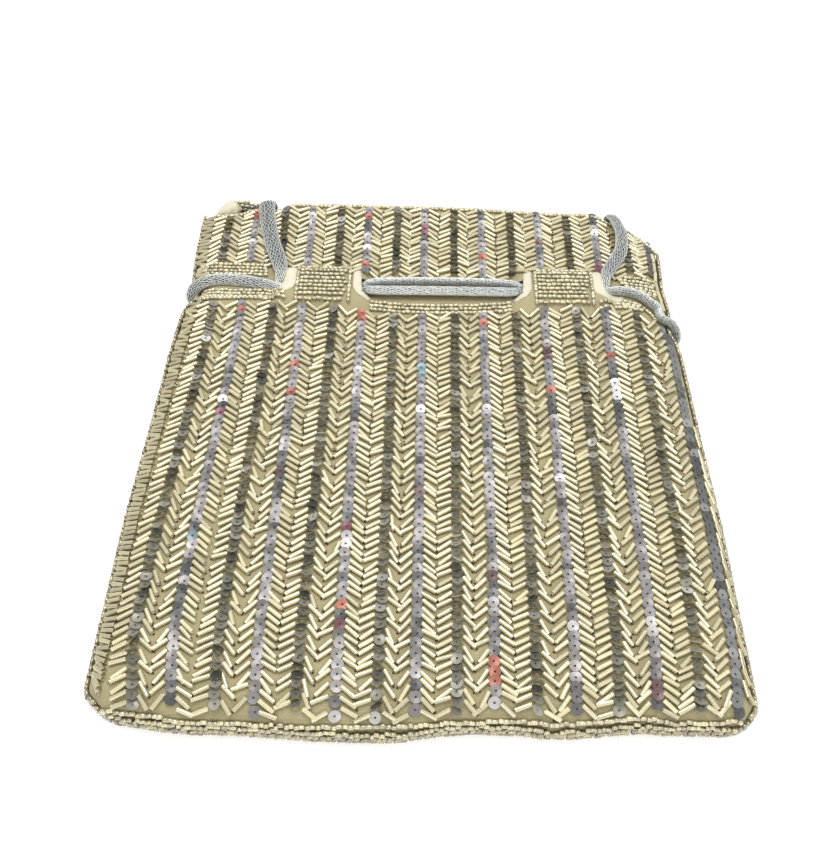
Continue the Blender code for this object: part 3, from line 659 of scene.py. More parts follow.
def cloth(name, face, material, inset, slits):
    """A face's cloth, or its lining where inset is more than 0."""
    work = bmesh.new()
    bmesh.ops.create_grid(work, x_segments=CLOTH_CELLS, y_segments=CLOTH_CELLS, size=1.0)
    low, high = FOOT + inset, RIM - inset / 2
    for vert in work.verts:
        y = (vert.co.y + 1.0) / 2.0
        y = low + (high - low) * (y - MOUTH_PACK * math.sin(2 * math.pi * y) / (2 * math.pi))
        across = vert.co.x + EDGE_PACK * math.sin(math.pi * vert.co.x) / math.pi
        x = across * (half_width(y) - inset)
        y -= rim_drop(face, x) * max(0.0, (y - HEADING_LOW) / (high - HEADING_LOW))
        vert.co = (x, y, 0.0)
    if slits:
        planes = [((x + side * SLIT_HALF_WIDE, 0, 0), (1, 0, 0)) for x in SLITS for side in (-1, 1)]
        planes += [((0, CORD_Y + side * SLIT_HALF_TALL, 0), (0, 1, 0)) for side in (-1, 1)]
        for point, normal in planes:
            geometry = work.verts[:] + work.edges[:] + work.faces[:]
            bmesh.ops.bisect_plane(work, geom=geometry, plane_co=point, plane_no=normal, dist=1e-7)
        gone = []
        for f in work.faces:
            middle = f.calc_center_median()
            inside = any(abs(middle.x - x) < SLIT_HALF_WIDE for x in SLITS)
            if inside and abs(middle.y - CORD_Y) < SLIT_HALF_TALL:
                gone.append(f)
        bmesh.ops.delete(work, geom=gone, context="FACES")
    for vert in work.verts:
        x, y = vert.co.x, vert.co.y
        swell = BLOCK_RISE * block_share(x) * band_share(y) * pillow(x, y) if inset else 0.0
        vert.co = in_space(face, x, y, skin(face, x, y) - face * (swell + inset))
    if face < 0:
        bmesh.ops.reverse_faces(work, faces=work.faces)
    bmesh.ops.recalc_face_normals(work, faces=work.faces)
    made = kept_shape(name, work)
    outward = made.data.polygons[len(made.data.polygons) // 2].normal.z * face
    if outward < 0:
        made.data.flip_normals()
    made.data.materials.append(material)
    return walled(made, CLOTH_THICK, -1.0)


for word, face in FACES.items():
    ground = cloth(f"{word}_ground_cloth", face, ground_cloth, 0.0, True)
    worn(ground, "beadwork", f"{word}_outer_panel")
    inner = cloth(f"{word}_lining_cloth", face, lining_cloth, LINING_INSET, False)
    worn(inner, "lining", f"{word}_lining")
    print(word, "cloth has", len(ground.data.polygons), "faces, its lining", len(inner.data.polygons))

# %% [markdown]
# The herringbone fills the lanes between the stripes. In each lane two columns of bugle beads
# slope down from the stripes and meet in the middle. The lane to the right of a grey stripe is
# dense, with its beads sewn in pairs; the lane to the right of a dark one is steeper and sparser,
# and the brown knots of the thread show down its middle. Each bead is a little off the rule, by
# chance from a fixed seed, since an array of equal beads would look printed.

# %% Herringbone
STRIPES = 16
STRIPE_PITCH = 0.01206
STRIPE_SHIFT = 0.0050
STRIPE_LEAN = 0.0002
STRIPE_BOW = 0.0046
BOW_ACROSS = (
    (-0.0853, -1.0), (-0.0730, -0.78), (-0.0617, -0.41), (-0.0493, -0.20), (-0.0247, 0.0),
    (0.0350, 0.09), (0.0596, 0.35), (0.0833, 0.45), (0.0956, 0.39),
)
BOW_ALONG = ((-0.1137, 0.1), (-0.0951, 0.75), (-0.0858, 1.0), (-0.0545, 0.9), (-0.0116, 0.45), (0.0383, 0.0))
STRIPE_IN = 0.0036
LANE_CLEAR = 0.0017
FIELD_FOOT = FOOT + 0.0021
FIELD_TOPS = (
    (-0.090, 0.0585), (-0.070, 0.0592), (-0.062, 0.0580), (-0.035, 0.0574), (-0.018, 0.0543),
    (-0.002, 0.0530), (0.0135, 0.0535), (0.029, 0.0548), (0.045, 0.0574), (0.0775, 0.0582),
    (0.085, 0.0562), (0.094, 0.0490),
)
HEADING_FEET = (
    (-0.073, 0.0815), (-0.062, 0.0795), (-0.040, 0.0775), (-0.026, 0.0738), (0.033, 0.0742),
    (0.045, 0.0785), (0.066, 0.0790), (0.076, 0.0768), (0.092, 0.0768),
)
DENSE_SLOPES = {1: math.radians(39), -1: math.radians(30)}
SPARSE_SLOPES = {1: (math.radians(48), math.radians(60)), -1: (math.radians(41), math.radians(48))}
SPARSE_OUT = 0.0005
EDGE_SLOPE = math.radians(74)
PAIR_STEP = 0.0054
PAIR_SPACING = 0.00245
SPARSE_STEP = 0.0035
WILD_FOOT = 0.016
SHORTEST_DROP = 0.0016
HIDDEN_KNOTS = 0.45
BUGLE_COLOUR = rgb(206, 196, 156)
BORDER_COLOUR = rgb(176, 166, 126)


def stripe_x(k, y):
    """The middle of a stripe. Dark ones, which are even, stand a little to the right."""
    x = STRIPE_SHIFT + (k - (STRIPES - 1) / 2) * STRIPE_PITCH
    lean = STRIPE_LEAN if k % 2 == 0 else -STRIPE_LEAN
    bowed = x + lean + STRIPE_BOW * along(BOW_ACROSS, x) * along(BOW_ALONG, y)
    return min(bowed, half_width(y) - STRIPE_IN)


def on_face(face, x, y, margin):
    """Whether a place is on a face's cloth, and so far from its sides and its mouth."""
    return abs(x) < half_width(y) - margin and y < rim_at(face, x) - margin


def lane_rows(dense, low, high, dice):
    """The heights along a lane where a bead's outer end is sewn, from the top down."""
    rows = []
    y = high - dice.uniform(0.0, 0.0015)
    while y > low:
        rows.append(y + dice.gauss(0.0, 0.00015))
        if dense:
            rows.append(y - PAIR_SPACING + dice.gauss(0.0, 0.00012))
            y -= PAIR_STEP
        else:
            y -= SPARSE_STEP
    return [y for y in rows if y > low]


def column(face, k, side, dense, low, high, dice, beads, knots):
    """One column of bugles: side is 1 for the one right of stripe k, and -1 for the one left of it."""
    at_edge = k == STRIPES - 1 and side > 0
    clear = LANE_CLEAR if dense else LANE_CLEAR + SPARSE_OUT
    for number, y in enumerate(lane_rows(dense, low, high, dice)):
        slope = DENSE_SLOPES[side] if dense else SPARSE_SLOPES[side][number % 2]
        if at_edge:
            slope = EDGE_SLOPE
        wild = 9 if y < FIELD_FOOT + WILD_FOOT else 4.5 if dense else 6.5
        turn = slope + dice.gauss(0.0, math.radians(wild))
        long = dice.uniform(0.94, 1.05)
        reach = BUGLE_LONG * long / 2
        if y - FIELD_FOOT < SHORTEST_DROP:
            continue
        turn = min(turn, math.asin(min(1.0, (y - FIELD_FOOT) / (2 * reach))))
        x = stripe_x(k, y) + side * (clear + dice.gauss(0.0, 0.00012))
        middle_x = x + side * reach * math.cos(turn)
        middle_y = y - reach * math.sin(turn)
        if not on_face(face, middle_x, middle_y, 0.0022):
            continue
        lift = BUGLE_WIDE / 2 + dice.uniform(0.0, 0.0002)
        colour = tinted(BORDER_COLOUR if at_edge else BUGLE_COLOUR, dice, 0.2)
        leans, sizes = (0.0, dice.gauss(0.0, 0.04)), (long, 1.0, 1.0)
        beads.append(spot(face, middle_x, middle_y, -side * turn, lift, leans, sizes, colour))
        if dense and dice.random() < HIDDEN_KNOTS:
            continue
        knot_x = x + side * (2 * reach * math.cos(turn) + 0.0003)
        knot_y = y - 2 * reach * math.sin(turn) - 0.0002
        if knot_y > FIELD_FOOT and on_face(face, knot_x, knot_y, 0.0015):
            knots.append(spot(face, knot_x, knot_y, 0.0, KNOT_WIDE / 4))


def herringbone(face, heading, dice):
    """The bugles and knots of every lane, of the field or of the heading."""
    beads, knots = [], []
    for k in range(STRIPES):
        for side in (-1, 1):
            lane = k if side > 0 else k - 1
            x = stripe_x(k, 0.05) + side * STRIPE_PITCH / 3
            low = along(HEADING_FEET, x) if heading else FIELD_FOOT
            high = rim_at(face, x) - 0.0012 if heading else along(FIELD_TOPS, x)
            dense = (heading or lane % 2 == 1) and lane < STRIPES - 1
            column(face, k, side, dense, low, high, dice, beads, knots)
    return beads, knots


for word, face in FACES.items():
    dice = random.Random(11 + face)
    field, field_knots = herringbone(face, False, dice)
    heading, heading_knots = herringbone(face, True, dice)
    for part, spots in (("field", field), ("heading", heading)):
        worn(stamped(f"{word}_{part}_bugles", bugle_shape, spots, bugle_glass), "beadwork")
    piece = stamped(f"{word}_thread_knots", knot_shape, field_knots + heading_knots, knot_thread)
    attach(piece, "bag")

# %% [markdown]
# Outside the herringbone, the beads follow the seams. On the left they lie across the edge, close
# together, and turn over it with the cloth. On the right the last stripe nearly reaches the seam,
# so beads run along it, end to end, only beside the casing and the heading.

# %% Border bugles
BORDER_IN = ((0.060, 0.0042), (0.080, 0.0030))
BORDER_STEP = 0.0019
BORDER_FOOT = FOOT + 0.0085
EDGE_IN = 0.0024
EDGE_FROM, EDGE_TO = 0.0545, 0.0925
PLAIN = ((0.0, 0.0), (1.0, 1.0, 1.0))


def border_bugles(face, dice):
    """The bugles across the left edge, and along the right one where there are some."""
    spots = []
    y = BORDER_FOOT
    while y < RIM - 0.002:
        x = -(half_width(y) - along(BORDER_IN, y) - dice.uniform(0.0, 0.0004))
        beside_cord = abs(y - CORD_Y) < 0.0034
        if not beside_cord and on_face(face, x, y, 0.001):
            turn = -0.15 - 0.6 * eased((-0.080 - y) / 0.025) + dice.gauss(0.0, 0.3 if y > 0.03 else 0.16)
            colour = tinted(BORDER_COLOUR, dice, 0.22)
            spots.append(spot(face, x, y, turn, BUGLE_WIDE / 2, *PLAIN, colour))
        y += BORDER_STEP * dice.uniform(0.9, 1.2)
    y = EDGE_FROM
    while y < EDGE_TO:
        x = half_width(y) - EDGE_IN
        lean = math.atan2(half_width(y + 0.002) - half_width(y - 0.002), 0.004)
        turn = math.pi / 2 - lean + dice.gauss(0.0, 0.05)
        colour = tinted(BUGLE_COLOUR, dice, 0.2)
        spots.append(spot(face, x, y, turn, BUGLE_WIDE / 2, *PLAIN, colour))
        y += BUGLE_LONG * 1.04
    return spots


for word, face in FACES.items():
    spots = border_bugles(face, random.Random(71 + face))
    worn(stamped(f"{word}_border_bugles", bugle_shape, spots, bugle_glass), "beadwork")

# %% [markdown]
# The stripes are sequins sewn in a row, each over the next like tiles. Those of the grey stripes
# lie flat and show their faces, with a coral, magenta or mirror one here and there. Those of the
# front's dark stripes lean steeply, so less of each shows and the row looks darker. They are set
# from the mouth down, and now and then a flat one keeps the colour of the one before it.

# %% Sequins
GREY_STEP = 0.0033
DARK_STEP = 0.0027
DARK_LEAN = (34, 15)
DARK_LIFT = 0.0013
FLAT_LIFTS = {1: 0.0009, -1: 0.0007}
SAME_COLOUR = 0.2
GREYS = ((rgb(132, 128, 128), 42), (rgb(152, 148, 148), 16), (rgb(108, 106, 106), 14), (rgb(80, 80, 81), 10))
SPECIALS = (
    (rgb(154, 94, 80), 6),
    (rgb(118, 76, 86), 1),
    (rgb(196, 194, 194), 6),
    (rgb(116, 134, 140), 2),
    (rgb(98, 78, 78), 3),
)
STEELS = ((rgb(122, 123, 123), 30), (rgb(98, 99, 99), 30), (rgb(146, 147, 147), 22), (rgb(80, 81, 81), 12))
# The dark stripes' tones run from near black to near white: partly the sequins' own tones, partly painted
# light and shade of tilted sequins, and the near-white one is a painted highlight.
DARKS_WITH_PAINTED_LIGHT = (
    (rgb(150, 148, 136), 34),
    (rgb(124, 123, 112), 26),
    (rgb(172, 170, 160), 22),
    (rgb(84, 86, 80), 16),
    (rgb(196, 196, 190), 5),
)


def picked(dice, choices):
    """One colour of a list of (colour, weight)."""
    return dice.choices([c for c, w in choices], [w for c, w in choices])[0]


def sequin_stripe(face, k, low, high, dice):
    """The sequins of one stripe, between two heights."""
    spots = []
    dark = k % 2 == 0
    colours = DARKS_WITH_PAINTED_LIGHT if dark else STEELS if k == STRIPES - 1 else GREYS + SPECIALS
    chosen = GREYS[0][0]
    y = high
    while y > low:
        x = stripe_x(k, y) + dice.gauss(0.0, 0.0002)
        if on_face(face, x, y, 0.0016):
            if dark and face > 0:
                leans = (-math.radians(dice.gauss(*DARK_LEAN)), dice.gauss(0.0, 0.3))
                lift = DARK_LIFT
            else:
                leans = (math.radians(dice.gauss(6, 6)), dice.gauss(0.0, 0.10))
                lift = FLAT_LIFTS[face]
            if dark or dice.random() > SAME_COLOUR or not spots:
                chosen = picked(dice, colours)
            colour = tinted(chosen, dice, 0.14)
            spots.append(spot(face, x, y, dice.gauss(0.0, 0.2), lift, leans, colour=colour))
        y -= (DARK_STEP if dark else GREY_STEP) * dice.uniform(0.9, 1.12)
    return spots


for word, face in FACES.items():
    dice = random.Random(23 + face)
    spots = []
    for k in range(STRIPES):
        x = stripe_x(k, 0.05)
        spots += sequin_stripe(face, k, FIELD_FOOT + 0.0010, along(FIELD_TOPS, x) - 0.0022, dice)
        spots += sequin_stripe(face, k, along(HEADING_FEET, x) + 0.0006, RIM - 0.0024, dice)
    piece = stamped(f"{word}_sequins", sequin_shape, spots, sequin_film)
    solids = [f"front_sequin_stripe_{k + 1:02d}" for k in range(STRIPES)] if face > 0 else []
    worn(piece, "sequins", *solids)

# %% [markdown]
# Seed beads are strung in rows: along the mouth, round the seams, above and below the cords, and
# in close courses over the two blocks. A curve modifier could bend a row of beads along a line,
# but it would bend the glass too, so one helper walks along any line on a face and sets each bead
# whole, turned to follow it.

# %% Strings of seed beads
SEED_STEP = 0.0018
SEED_COLOUR = rgb(198, 189, 152)


def string_of(face, line, dice, lift=SEED_WIDE / 2, step=SEED_STEP):
    """Seed beads along a line of (x, y) on a face."""
    spots = []
    spare = 0.0
    for (ax, ay), (bx, by) in zip(line, line[1:]):
        run = math.hypot(bx - ax, by - ay)
        at = spare
        while at < run:
            share = at / run
            x, y = ax + (bx - ax) * share, ay + (by - ay) * share
            turn = math.atan2(by - ay, bx - ax) + dice.gauss(0.0, 0.1)
            long = dice.uniform(0.7, 1.2)
            y += dice.gauss(0.0, 0.00012)
            sizes = (long, dice.uniform(0.85, 1.1), 1.0)
            colour = tinted(SEED_COLOUR, dice, 0.3)
            spots.append(spot(face, x, y, turn, lift, sizes=sizes, colour=colour))
            at += step * (long + 0.12)
        spare = at - run
    return spots


def spread(low, high, count):
    """Evenly spaced values from low to high, with both ends."""
    return [low + (high - low) * k / count for k in range(count + 1)]


# %% [markdown]
# The rows beside the casing start where the cords leave them room. On the left there are four rows
# above the round cord and three below it; on the right each upper row starts further out, because
# the cord's way down crosses them. Three rows hang under the open stretch in the middle.

# %% Rows beside the casing
UPPER_LEFT = (0.0797, 0.0778, 0.0759, 0.0741)
UPPER_RIGHT = (
    (0.0800, 0.0757), (0.0792, 0.0738), (0.0797, 0.0719), (0.0815, 0.0700), (0.0850, 0.0682),
    (0.0885, 0.0663),
)
LOWER_LEFT = (0.0656, 0.0638, 0.0621)
LOWER_RIGHT = (0.0604, 0.0586)
BESIDE_CORD = ((0.0800, 0.0618), (0.0850, 0.0600), (0.0890, 0.0560), (0.0925, 0.0515))
MIDDLE_ROW = ((-0.0220, 0.0596), (-0.0100, 0.0582), (0.0040, 0.0576), (0.0200, 0.0582), (0.0350, 0.0600))
MIDDLE_DROPS = (0.0, 0.0020, 0.0040)
HEM_SPANS = ((-1.0, -0.055), (0.070, 0.088))


def casing_rows(face, dice):
    """The rows above and below the cords, outside the blocks."""
    lines = []
    edge = along(WIDTHS, CORD_Y) - 0.0035
    left, right = SLITS[0], SLITS[3]
    for y in UPPER_LEFT:
        lines.append([(-edge, y + 0.0004), (left - 0.0045, y - 0.0004)])
    for start, y in UPPER_RIGHT:
        lines.append([(start, y), (edge, y - 0.0020)])
    for y in LOWER_LEFT:
        lines.append([(-edge, y - 0.0006), (left - 0.004, y - 0.0008), (left + 0.004, y - 0.0034)])
    for y in LOWER_RIGHT:
        lines.append([(right - 0.004, y - 0.0018), (right + 0.005, y), (0.0865, y - 0.0018)])
    lines.append(BESIDE_CORD)
    for down in MIDDLE_DROPS:
        lines.append([(x, y - down) for x, y in MIDDLE_ROW])
    hem = [(x, along(FIELD_TOPS, x) + 0.0018) for x in spread(-edge, edge, 48)]
    for low, high in HEM_SPANS:
        lines.append([place for place in hem if low < place[0] < high])
    return [one for line in lines for one in string_of(face, line, dice)]


# %% [markdown]
# A block is a raised patch of close courses with an upright row at each end. At the mouth two rows
# sit one over the other on the lip, and at the foot of the front two more cover the edge where the
# seam wanders.

# %% Blocks, mouth and foot
BLOCKS = ((-0.0518, -0.0316), (0.0444, 0.0662))
BLOCK_LOW, BLOCK_HIGH = CORD_Y - 0.0083, CORD_Y + 0.0093
BLOCK_COURSES = 9
MOUTH_ROWS = ((-0.0003, -0.0004), (0.0007, 0.0012))
FOOT_REACH = 0.0970
FOOT_ROW = (
    (-0.0975, 0.0008), (-0.0795, 0.0014), (-0.0735, 0.0010), (-0.0500, 0.0008),
    (-0.0355, 0.0011), (-0.0205, 0.0016), (-0.0055, 0.0018), (0.0035, 0.0010), (0.0185, 0.0008),
    (0.0365, 0.0015), (0.0515, 0.0015), (0.0725, 0.0014), (0.0770, 0.0010), (0.0905, 0.0010),
    (0.0945, 0.0021),
)


def block_rows(face, a, b, dice):
    """The courses of one block, and the upright row at each end."""
    spots = []
    for y in spread(BLOCK_LOW, BLOCK_HIGH, BLOCK_COURSES - 1):
        spots += string_of(face, [(a + 0.0012, y), (b - 0.0012, y)], dice)
    for x in (a - 0.0004, b + 0.0004):
        spots += string_of(face, [(x, BLOCK_LOW), (x, BLOCK_HIGH)], dice)
    return spots


for word, face in FACES.items():
    dice = random.Random(37 + face)
    rows = casing_rows(face, dice)
    piece = stamped(f"{word}_casing_seed_beads", seed_shape, rows, seed_glass)
    worn(piece, "seed_beads", f"{word}_upper_casing_beads", f"{word}_lower_casing_beads")
    rows = block_rows(face, *BLOCKS[0], dice) + block_rows(face, *BLOCKS[1], dice)
    piece = stamped(f"{word}_block_seed_beads", seed_shape, rows, seed_glass)
    worn(piece, "seed_beads", f"{word}_left_bead_block", f"{word}_right_bead_block")
    rim = along(WIDTHS, RIM) - 0.0005
    rows = []
    for lift, back in MOUTH_ROWS:
        line = [(x, rim_at(face, x) - back) for x in spread(-rim, rim, 60)]
        rows += string_of(face, line, dice, lift=lift)
    if face > 0:
        xs = spread(-FOOT_REACH, FOOT_REACH, 60)
        for line in ([(x, FOOT + along(FOOT_ROW, x)) for x in xs], [(x, FOOT + 0.0002) for x in xs]):
            rows += string_of(face, line, dice, lift=SEED_WIDE * 0.45, step=0.0016)
    piece = stamped(f"{word}_mouth_seed_beads", seed_shape, rows, seed_glass)
    worn(piece, "seed_beads", f"{word}_mouth_beads")

# %% [markdown]
# The side and bottom seams carry strings of seed beads, two on each cloth, but only the one beside
# the seam goes round the foot. They follow the outline, so their line is the outline itself:
# nearly straight sides, and quarter circles at the foot.

# %% Seam beads
SEAM_OUT = 0.0010
SEAM_RISE = 0.0009
UPPER_SEAM_OUT = 0.0006
UPPER_SEAM_RISE = 0.0024
UPPER_SEAM_FROM = FOOT + 0.006
SEAM_STOPS = (0.0915, 0.080, 0.073, 0.069, 0.066, 0.063, 0.059, 0.055, 0.052, 0.049, 0.046, 0.042)
SEAM_STOPS += (0.034, 0.0, -0.04, -0.09)
SEAM_COLOUR = rgb(158, 148, 112)


def outline(out, y_top):
    """Points of the outline from the right of the mouth, round the foot, to the left."""
    side = [(along(WIDTHS, y) + out, y) for y in SEAM_STOPS]
    centre_y = FOOT + CORNER
    centre_x = along(WIDTHS, centre_y) - CORNER
    arc = []
    for k in range(9):
        turn = math.radians(90 * k / 8)
        ray = CORNER + out
        arc.append((centre_x + ray * math.cos(turn), centre_y - ray * math.sin(turn)))
    arc += [(centre_x * (1.0 - k / 12), FOOT - out) for k in range(1, 12)]
    right = side + arc
    return right + [(-x, y) for x, y in reversed(right)] + [(-along(WIDTHS, y_top) - out, y_top)]


def space_string(line, outward, dice, colour):
    """Seed beads along a line in space; outward gives the direction away from the cloth."""
    spots = []
    spare = 0.0
    for a, b in zip(line, line[1:]):
        run = (b - a).length
        along_it = (b - a).normalized()
        out_it = outward(along_it)
        basis = Matrix((along_it, out_it.cross(along_it), out_it)).transposed()
        at = spare
        while at < run:
            long = dice.uniform(0.7, 1.4)
            turned = basis @ Matrix.Rotation(dice.gauss(0.15, 0.2), 3, "Z")
            aside = out_it.cross(along_it) * dice.gauss(0.0, 0.0002)
            spots.append((a + along_it * at + aside, turned, (long, 1.0, 1.0), tinted(colour, dice, 0.45)))
            at += SEED_LONG * (long + 0.05)
        spare = at - run
    return spots


def seam_string(face, out, rise, dice):
    """Seed beads along the outline, at a height beside the seam."""
    places = outline(out, RIM - 0.002)
    line = [in_space(1, x, y, along(SEAM_HEIGHTS, y) + face * rise) for x, y in places]
    up = Vector((0, 0, 1))
    return space_string(line, lambda ahead: up.cross(ahead).normalized(), dice, SEAM_COLOUR)


for word, face in FACES.items():
    dice = random.Random(53 + face)
    rows = seam_string(face, SEAM_OUT, SEAM_RISE, dice)
    upper = seam_string(face, SEAM_OUT - UPPER_SEAM_OUT, UPPER_SEAM_RISE, dice)
    rows += [one for one in upper if one[0].y > UPPER_SEAM_FROM]
    piece = stamped(f"{word}_seam_seed_beads", seed_shape, rows, seed_glass)
    worn(piece, "seed_beads", f"{word}_edge_beads")

# %% [markdown]
# At the mouth's left corner the front has slipped down, so a fold of the lining swells out, and the
# back's lip curls up behind it with four strings of seeds. The fold is a sphere drawn out along a
# few stations, with a soft crease; the lip is a grid bent along its profile.

# %% The mouth's left corner
FOLD = (
    (-0.0968, 0.1116, 0.0088, 0.0009), (-0.0930, 0.1128, 0.0108, 0.0018),
    (-0.0890, 0.1142, 0.0132, 0.0031), (-0.0862, 0.1148, 0.0142, 0.0038),
    (-0.0832, 0.1155, 0.0140, 0.0026), (-0.0812, 0.1160, 0.0134, 0.0006),
)
LIP = ((0.1150, 0.0052), (0.1172, 0.0086), (0.1184, 0.0122), (0.1185, 0.0152), (0.1176, 0.0166))
LIP_FROM = -0.0872
LIP_TO = -0.0732
LIP_THICK = 0.0004
LIP_STRINGS = (0.97, 0.80, 0.62, 0.45)
# The lip's seeds are painted near white as painted light, since the front panel shades the lip.
LIP_SEEDS_PAINTED_LIGHT = rgb(240, 233, 206)

work = bmesh.new()
bmesh.ops.create_uvsphere(work, u_segments=24, v_segments=24, radius=1.0)
for vert in work.verts:
    share = (vert.co.z + 1.0) / 2.0
    middle = [along([(k / 5, station[axis]) for k, station in enumerate(FOLD)], share) for axis in range(4)]
    ring = Vector((0.0, vert.co.x, vert.co.y))
    crease = 1.0 + 0.25 * noise.noise(Vector((share * 7.0, vert.co.x * 1.6, vert.co.y * 1.6)))
    vert.co = Vector(middle[:3]) + ring.normalized() * middle[3] * crease * min(1.0, ring.length * 1.3)
bmesh.ops.recalc_face_normals(work, faces=work.faces)
fold = kept_shape("left_corner_lining_fold", work)
fold.data.materials.append(lining_cloth)
worn(fold, "lining")
print("the fold has", len(fold.data.polygons), "faces")


def on_lip(across, up):
    """A place on the curled lip: across from 0 to 1 along the mouth, up from 0 to 1 to its edge."""
    tall = 0.86 + 0.14 * math.sin(math.pi * min(1.0, across * 1.25))
    at = up * (len(LIP) - 1)
    y = along([(k, place[0]) for k, place in enumerate(LIP)], at)
    z = LIP[0][1] + (along([(k, place[1]) for k, place in enumerate(LIP)], at) - LIP[0][1]) * tall
    return Vector((LIP_FROM + (LIP_TO - LIP_FROM) * across, y, z))


work = bmesh.new()
bmesh.ops.create_grid(work, x_segments=24, y_segments=12, size=1.0)
for vert in work.verts:
    vert.co = on_lip((vert.co.x + 1.0) / 2.0, (vert.co.y + 1.0) / 2.0)
bmesh.ops.recalc_face_normals(work, faces=work.faces)
lip = kept_shape("back_lip_curl", work)
lip.data.materials.append(ground_cloth)
worn(walled(lip, LIP_THICK, 0.0), "beadwork")
dice = random.Random(61)
spots = []
for up in LIP_STRINGS:
    line = [on_lip(0.02 + 0.96 * k / 12, up) + Vector((0.0, -0.0006, 0.0005)) for k in range(13)]
    spots += space_string(line, lambda ahead: Vector((0.0, -0.5, 0.86)), dice, LIP_SEEDS_PAINTED_LIGHT)
worn(stamped("back_lip_seed_beads", seed_shape, spots, seed_glass), "seed_beads")

# %% [markdown]
# Where a cord goes in, the cut edge of the slit is faced with cream satin. Each facing is a strip
# two to six millimetres wide, bent round the block's side of the slit and bulged along its middle,
# because it is a turned edge of soft cloth. A grid drawn along a short line of places gives that.

# %% Slit facings
FACING_THICK = 0.0003
FACINGS = (
    ((-0.0552, 0.0772), (-0.0550, 0.0700), (-0.0556, 0.0660), (-0.0582, 0.0636), (-0.0622, 0.0630)),
    ((-0.0285, 0.0762), (-0.0282, 0.0710), (-0.0281, 0.0660), (-0.0268, 0.0622), (-0.0225, 0.0606)),
    ((0.0412, 0.0762), (0.0409, 0.0710), (0.0408, 0.0660), (0.0395, 0.0622), (0.0352, 0.0606)),
    ((0.0690, 0.0768), (0.0689, 0.0700), (0.0697, 0.0655), (0.0730, 0.0630), (0.0795, 0.0634)),
)
FACING_WIDTHS = ((0.0, 0.0044), (0.5, 0.0056), (1.0, 0.0030))
INNER_SHARE = 0.7


def facing(word, face, number):
    """The cream strip beside one slit, which follows a line of its own."""
    route = FACINGS[number]
    work = bmesh.new()
    bmesh.ops.create_grid(work, x_segments=8, y_segments=16, size=1.0)
    for vert in work.verts:
        share = (1.0 - vert.co.y) / 2.0
        at = min(len(route) - 1.001, share * (len(route) - 1))
        a, b = route[int(at)], route[int(at) + 1]
        ahead = Vector((b[0] - a[0], b[1] - a[1])).normalized()
        aside = vert.co.x * along(FACING_WIDTHS, share) * (INNER_SHARE if number in (1, 2) else 1.0) / 2
        x = a[0] + (b[0] - a[0]) * (at - int(at)) - ahead.y * aside
        y = a[1] + (b[1] - a[1]) * (at - int(at)) + ahead.x * aside
        crease = 0.00030 * noise.noise(Vector((x * 700, y * 350, number)))
        bulge = 0.0005 * (1.0 - vert.co.x**2)
        vert.co = (face * x, y, skin(face, x, y) + face * (0.0002 + crease + bulge))
    bmesh.ops.recalc_face_normals(work, faces=work.faces)
    made = kept_shape(f"{word}_facing_cloth_{number + 1}", work)
    if made.data.polygons[0].normal.z * face < 0:
        made.data.flip_normals()
    made.data.materials.append(lining_cloth)
    worn(walled(made, FACING_THICK, -1.0), "lining", f"{word}_slit_facing_{number + 1}")


for word, face in FACES.items():
    for number in range(len(SLITS)):
        facing(word, face, number)
    print(word, "has", len(SLITS), "facings")

# %% [markdown]
# The two drawcords are tubes knitted from silver thread, which lie flattened. A cord has one
# length and one way: down from the mouth, in at a slit, behind a block, out across the middle, in
# again and out, round the side, and back along the other face. Each route is a list of places
# that it passes, measured from the part's own sizes and the photograph.

# %% Cord routes
OUT_LEVEL = 0.0158
IN_LEVEL = 0.0143
BACK_OUT = 0.00152
BACK_IN = 0.0039
HI = CORD_Y + CORD_PITCH / 2
LO = CORD_Y - CORD_PITCH / 2
CASING_SHIFT = 0.0064
CROSS_MIDDLE = (SLITS[2] + SLITS[3]) / 2
CROSS_HALF = (SLITS[3] - SLITS[2]) / 2 - HALF_STEP
CROSS_DROP = 0.0033
LOOP_START = 0.0842
LOOP_ROWS = (0.1085, 0.1005, 0.0925, 0.0885)


def gathered(y):
    """A cord's place along the bag where it is squeezed together with the other at a slit."""
    return CORD_Y + 0.55 * (y - CORD_Y)


def front_casing(dips, start, end):
    """A cord's route along the front, out of one block and into the next."""
    out = HALF_STEP + 0.0003
    bow = 1.12 * (start - CORD_Y)
    drop = CROSS_DROP if dips else 0.0
    end_drop = 0.0003 if dips else 0.0
    middle, half = (start + end) / 2, (end - start) / 2
    return [
        (SLITS[0] + 0.0014, gathered(start), OUT_LEVEL),
        (SLITS[0] + 0.0045, start, IN_LEVEL),
        (SLITS[1] - out, gathered(start), IN_LEVEL),
        (SLITS[1] - 0.0004, gathered(start), OUT_LEVEL - 0.0002),
        (SLITS[1] + 0.0048, CORD_Y + bow * 0.86, OUT_LEVEL + 0.0004),
        (CASING_SHIFT, CORD_Y + bow, OUT_LEVEL + 0.0009),
        (SLITS[2] - 0.0048, CORD_Y + bow * 0.86, OUT_LEVEL + 0.0004),
        (SLITS[2] + 0.0004, gathered(start), OUT_LEVEL - 0.0002),
        (SLITS[2] + out, gathered(start), IN_LEVEL),
        (CROSS_MIDDLE - 0.9 * CROSS_HALF, middle - 0.9 * half, IN_LEVEL - end_drop),
        (CROSS_MIDDLE - 0.35 * CROSS_HALF, middle - 0.35 * half, IN_LEVEL - drop),
        (CROSS_MIDDLE + 0.35 * CROSS_HALF, middle + 0.35 * half, IN_LEVEL - drop),
        (CROSS_MIDDLE + 0.9 * CROSS_HALF, middle + 0.9 * half, IN_LEVEL - end_drop),
        (SLITS[3] - 0.0045, end, IN_LEVEL),
        (SLITS[3] - 0.0018, gathered(end), OUT_LEVEL),
    ]


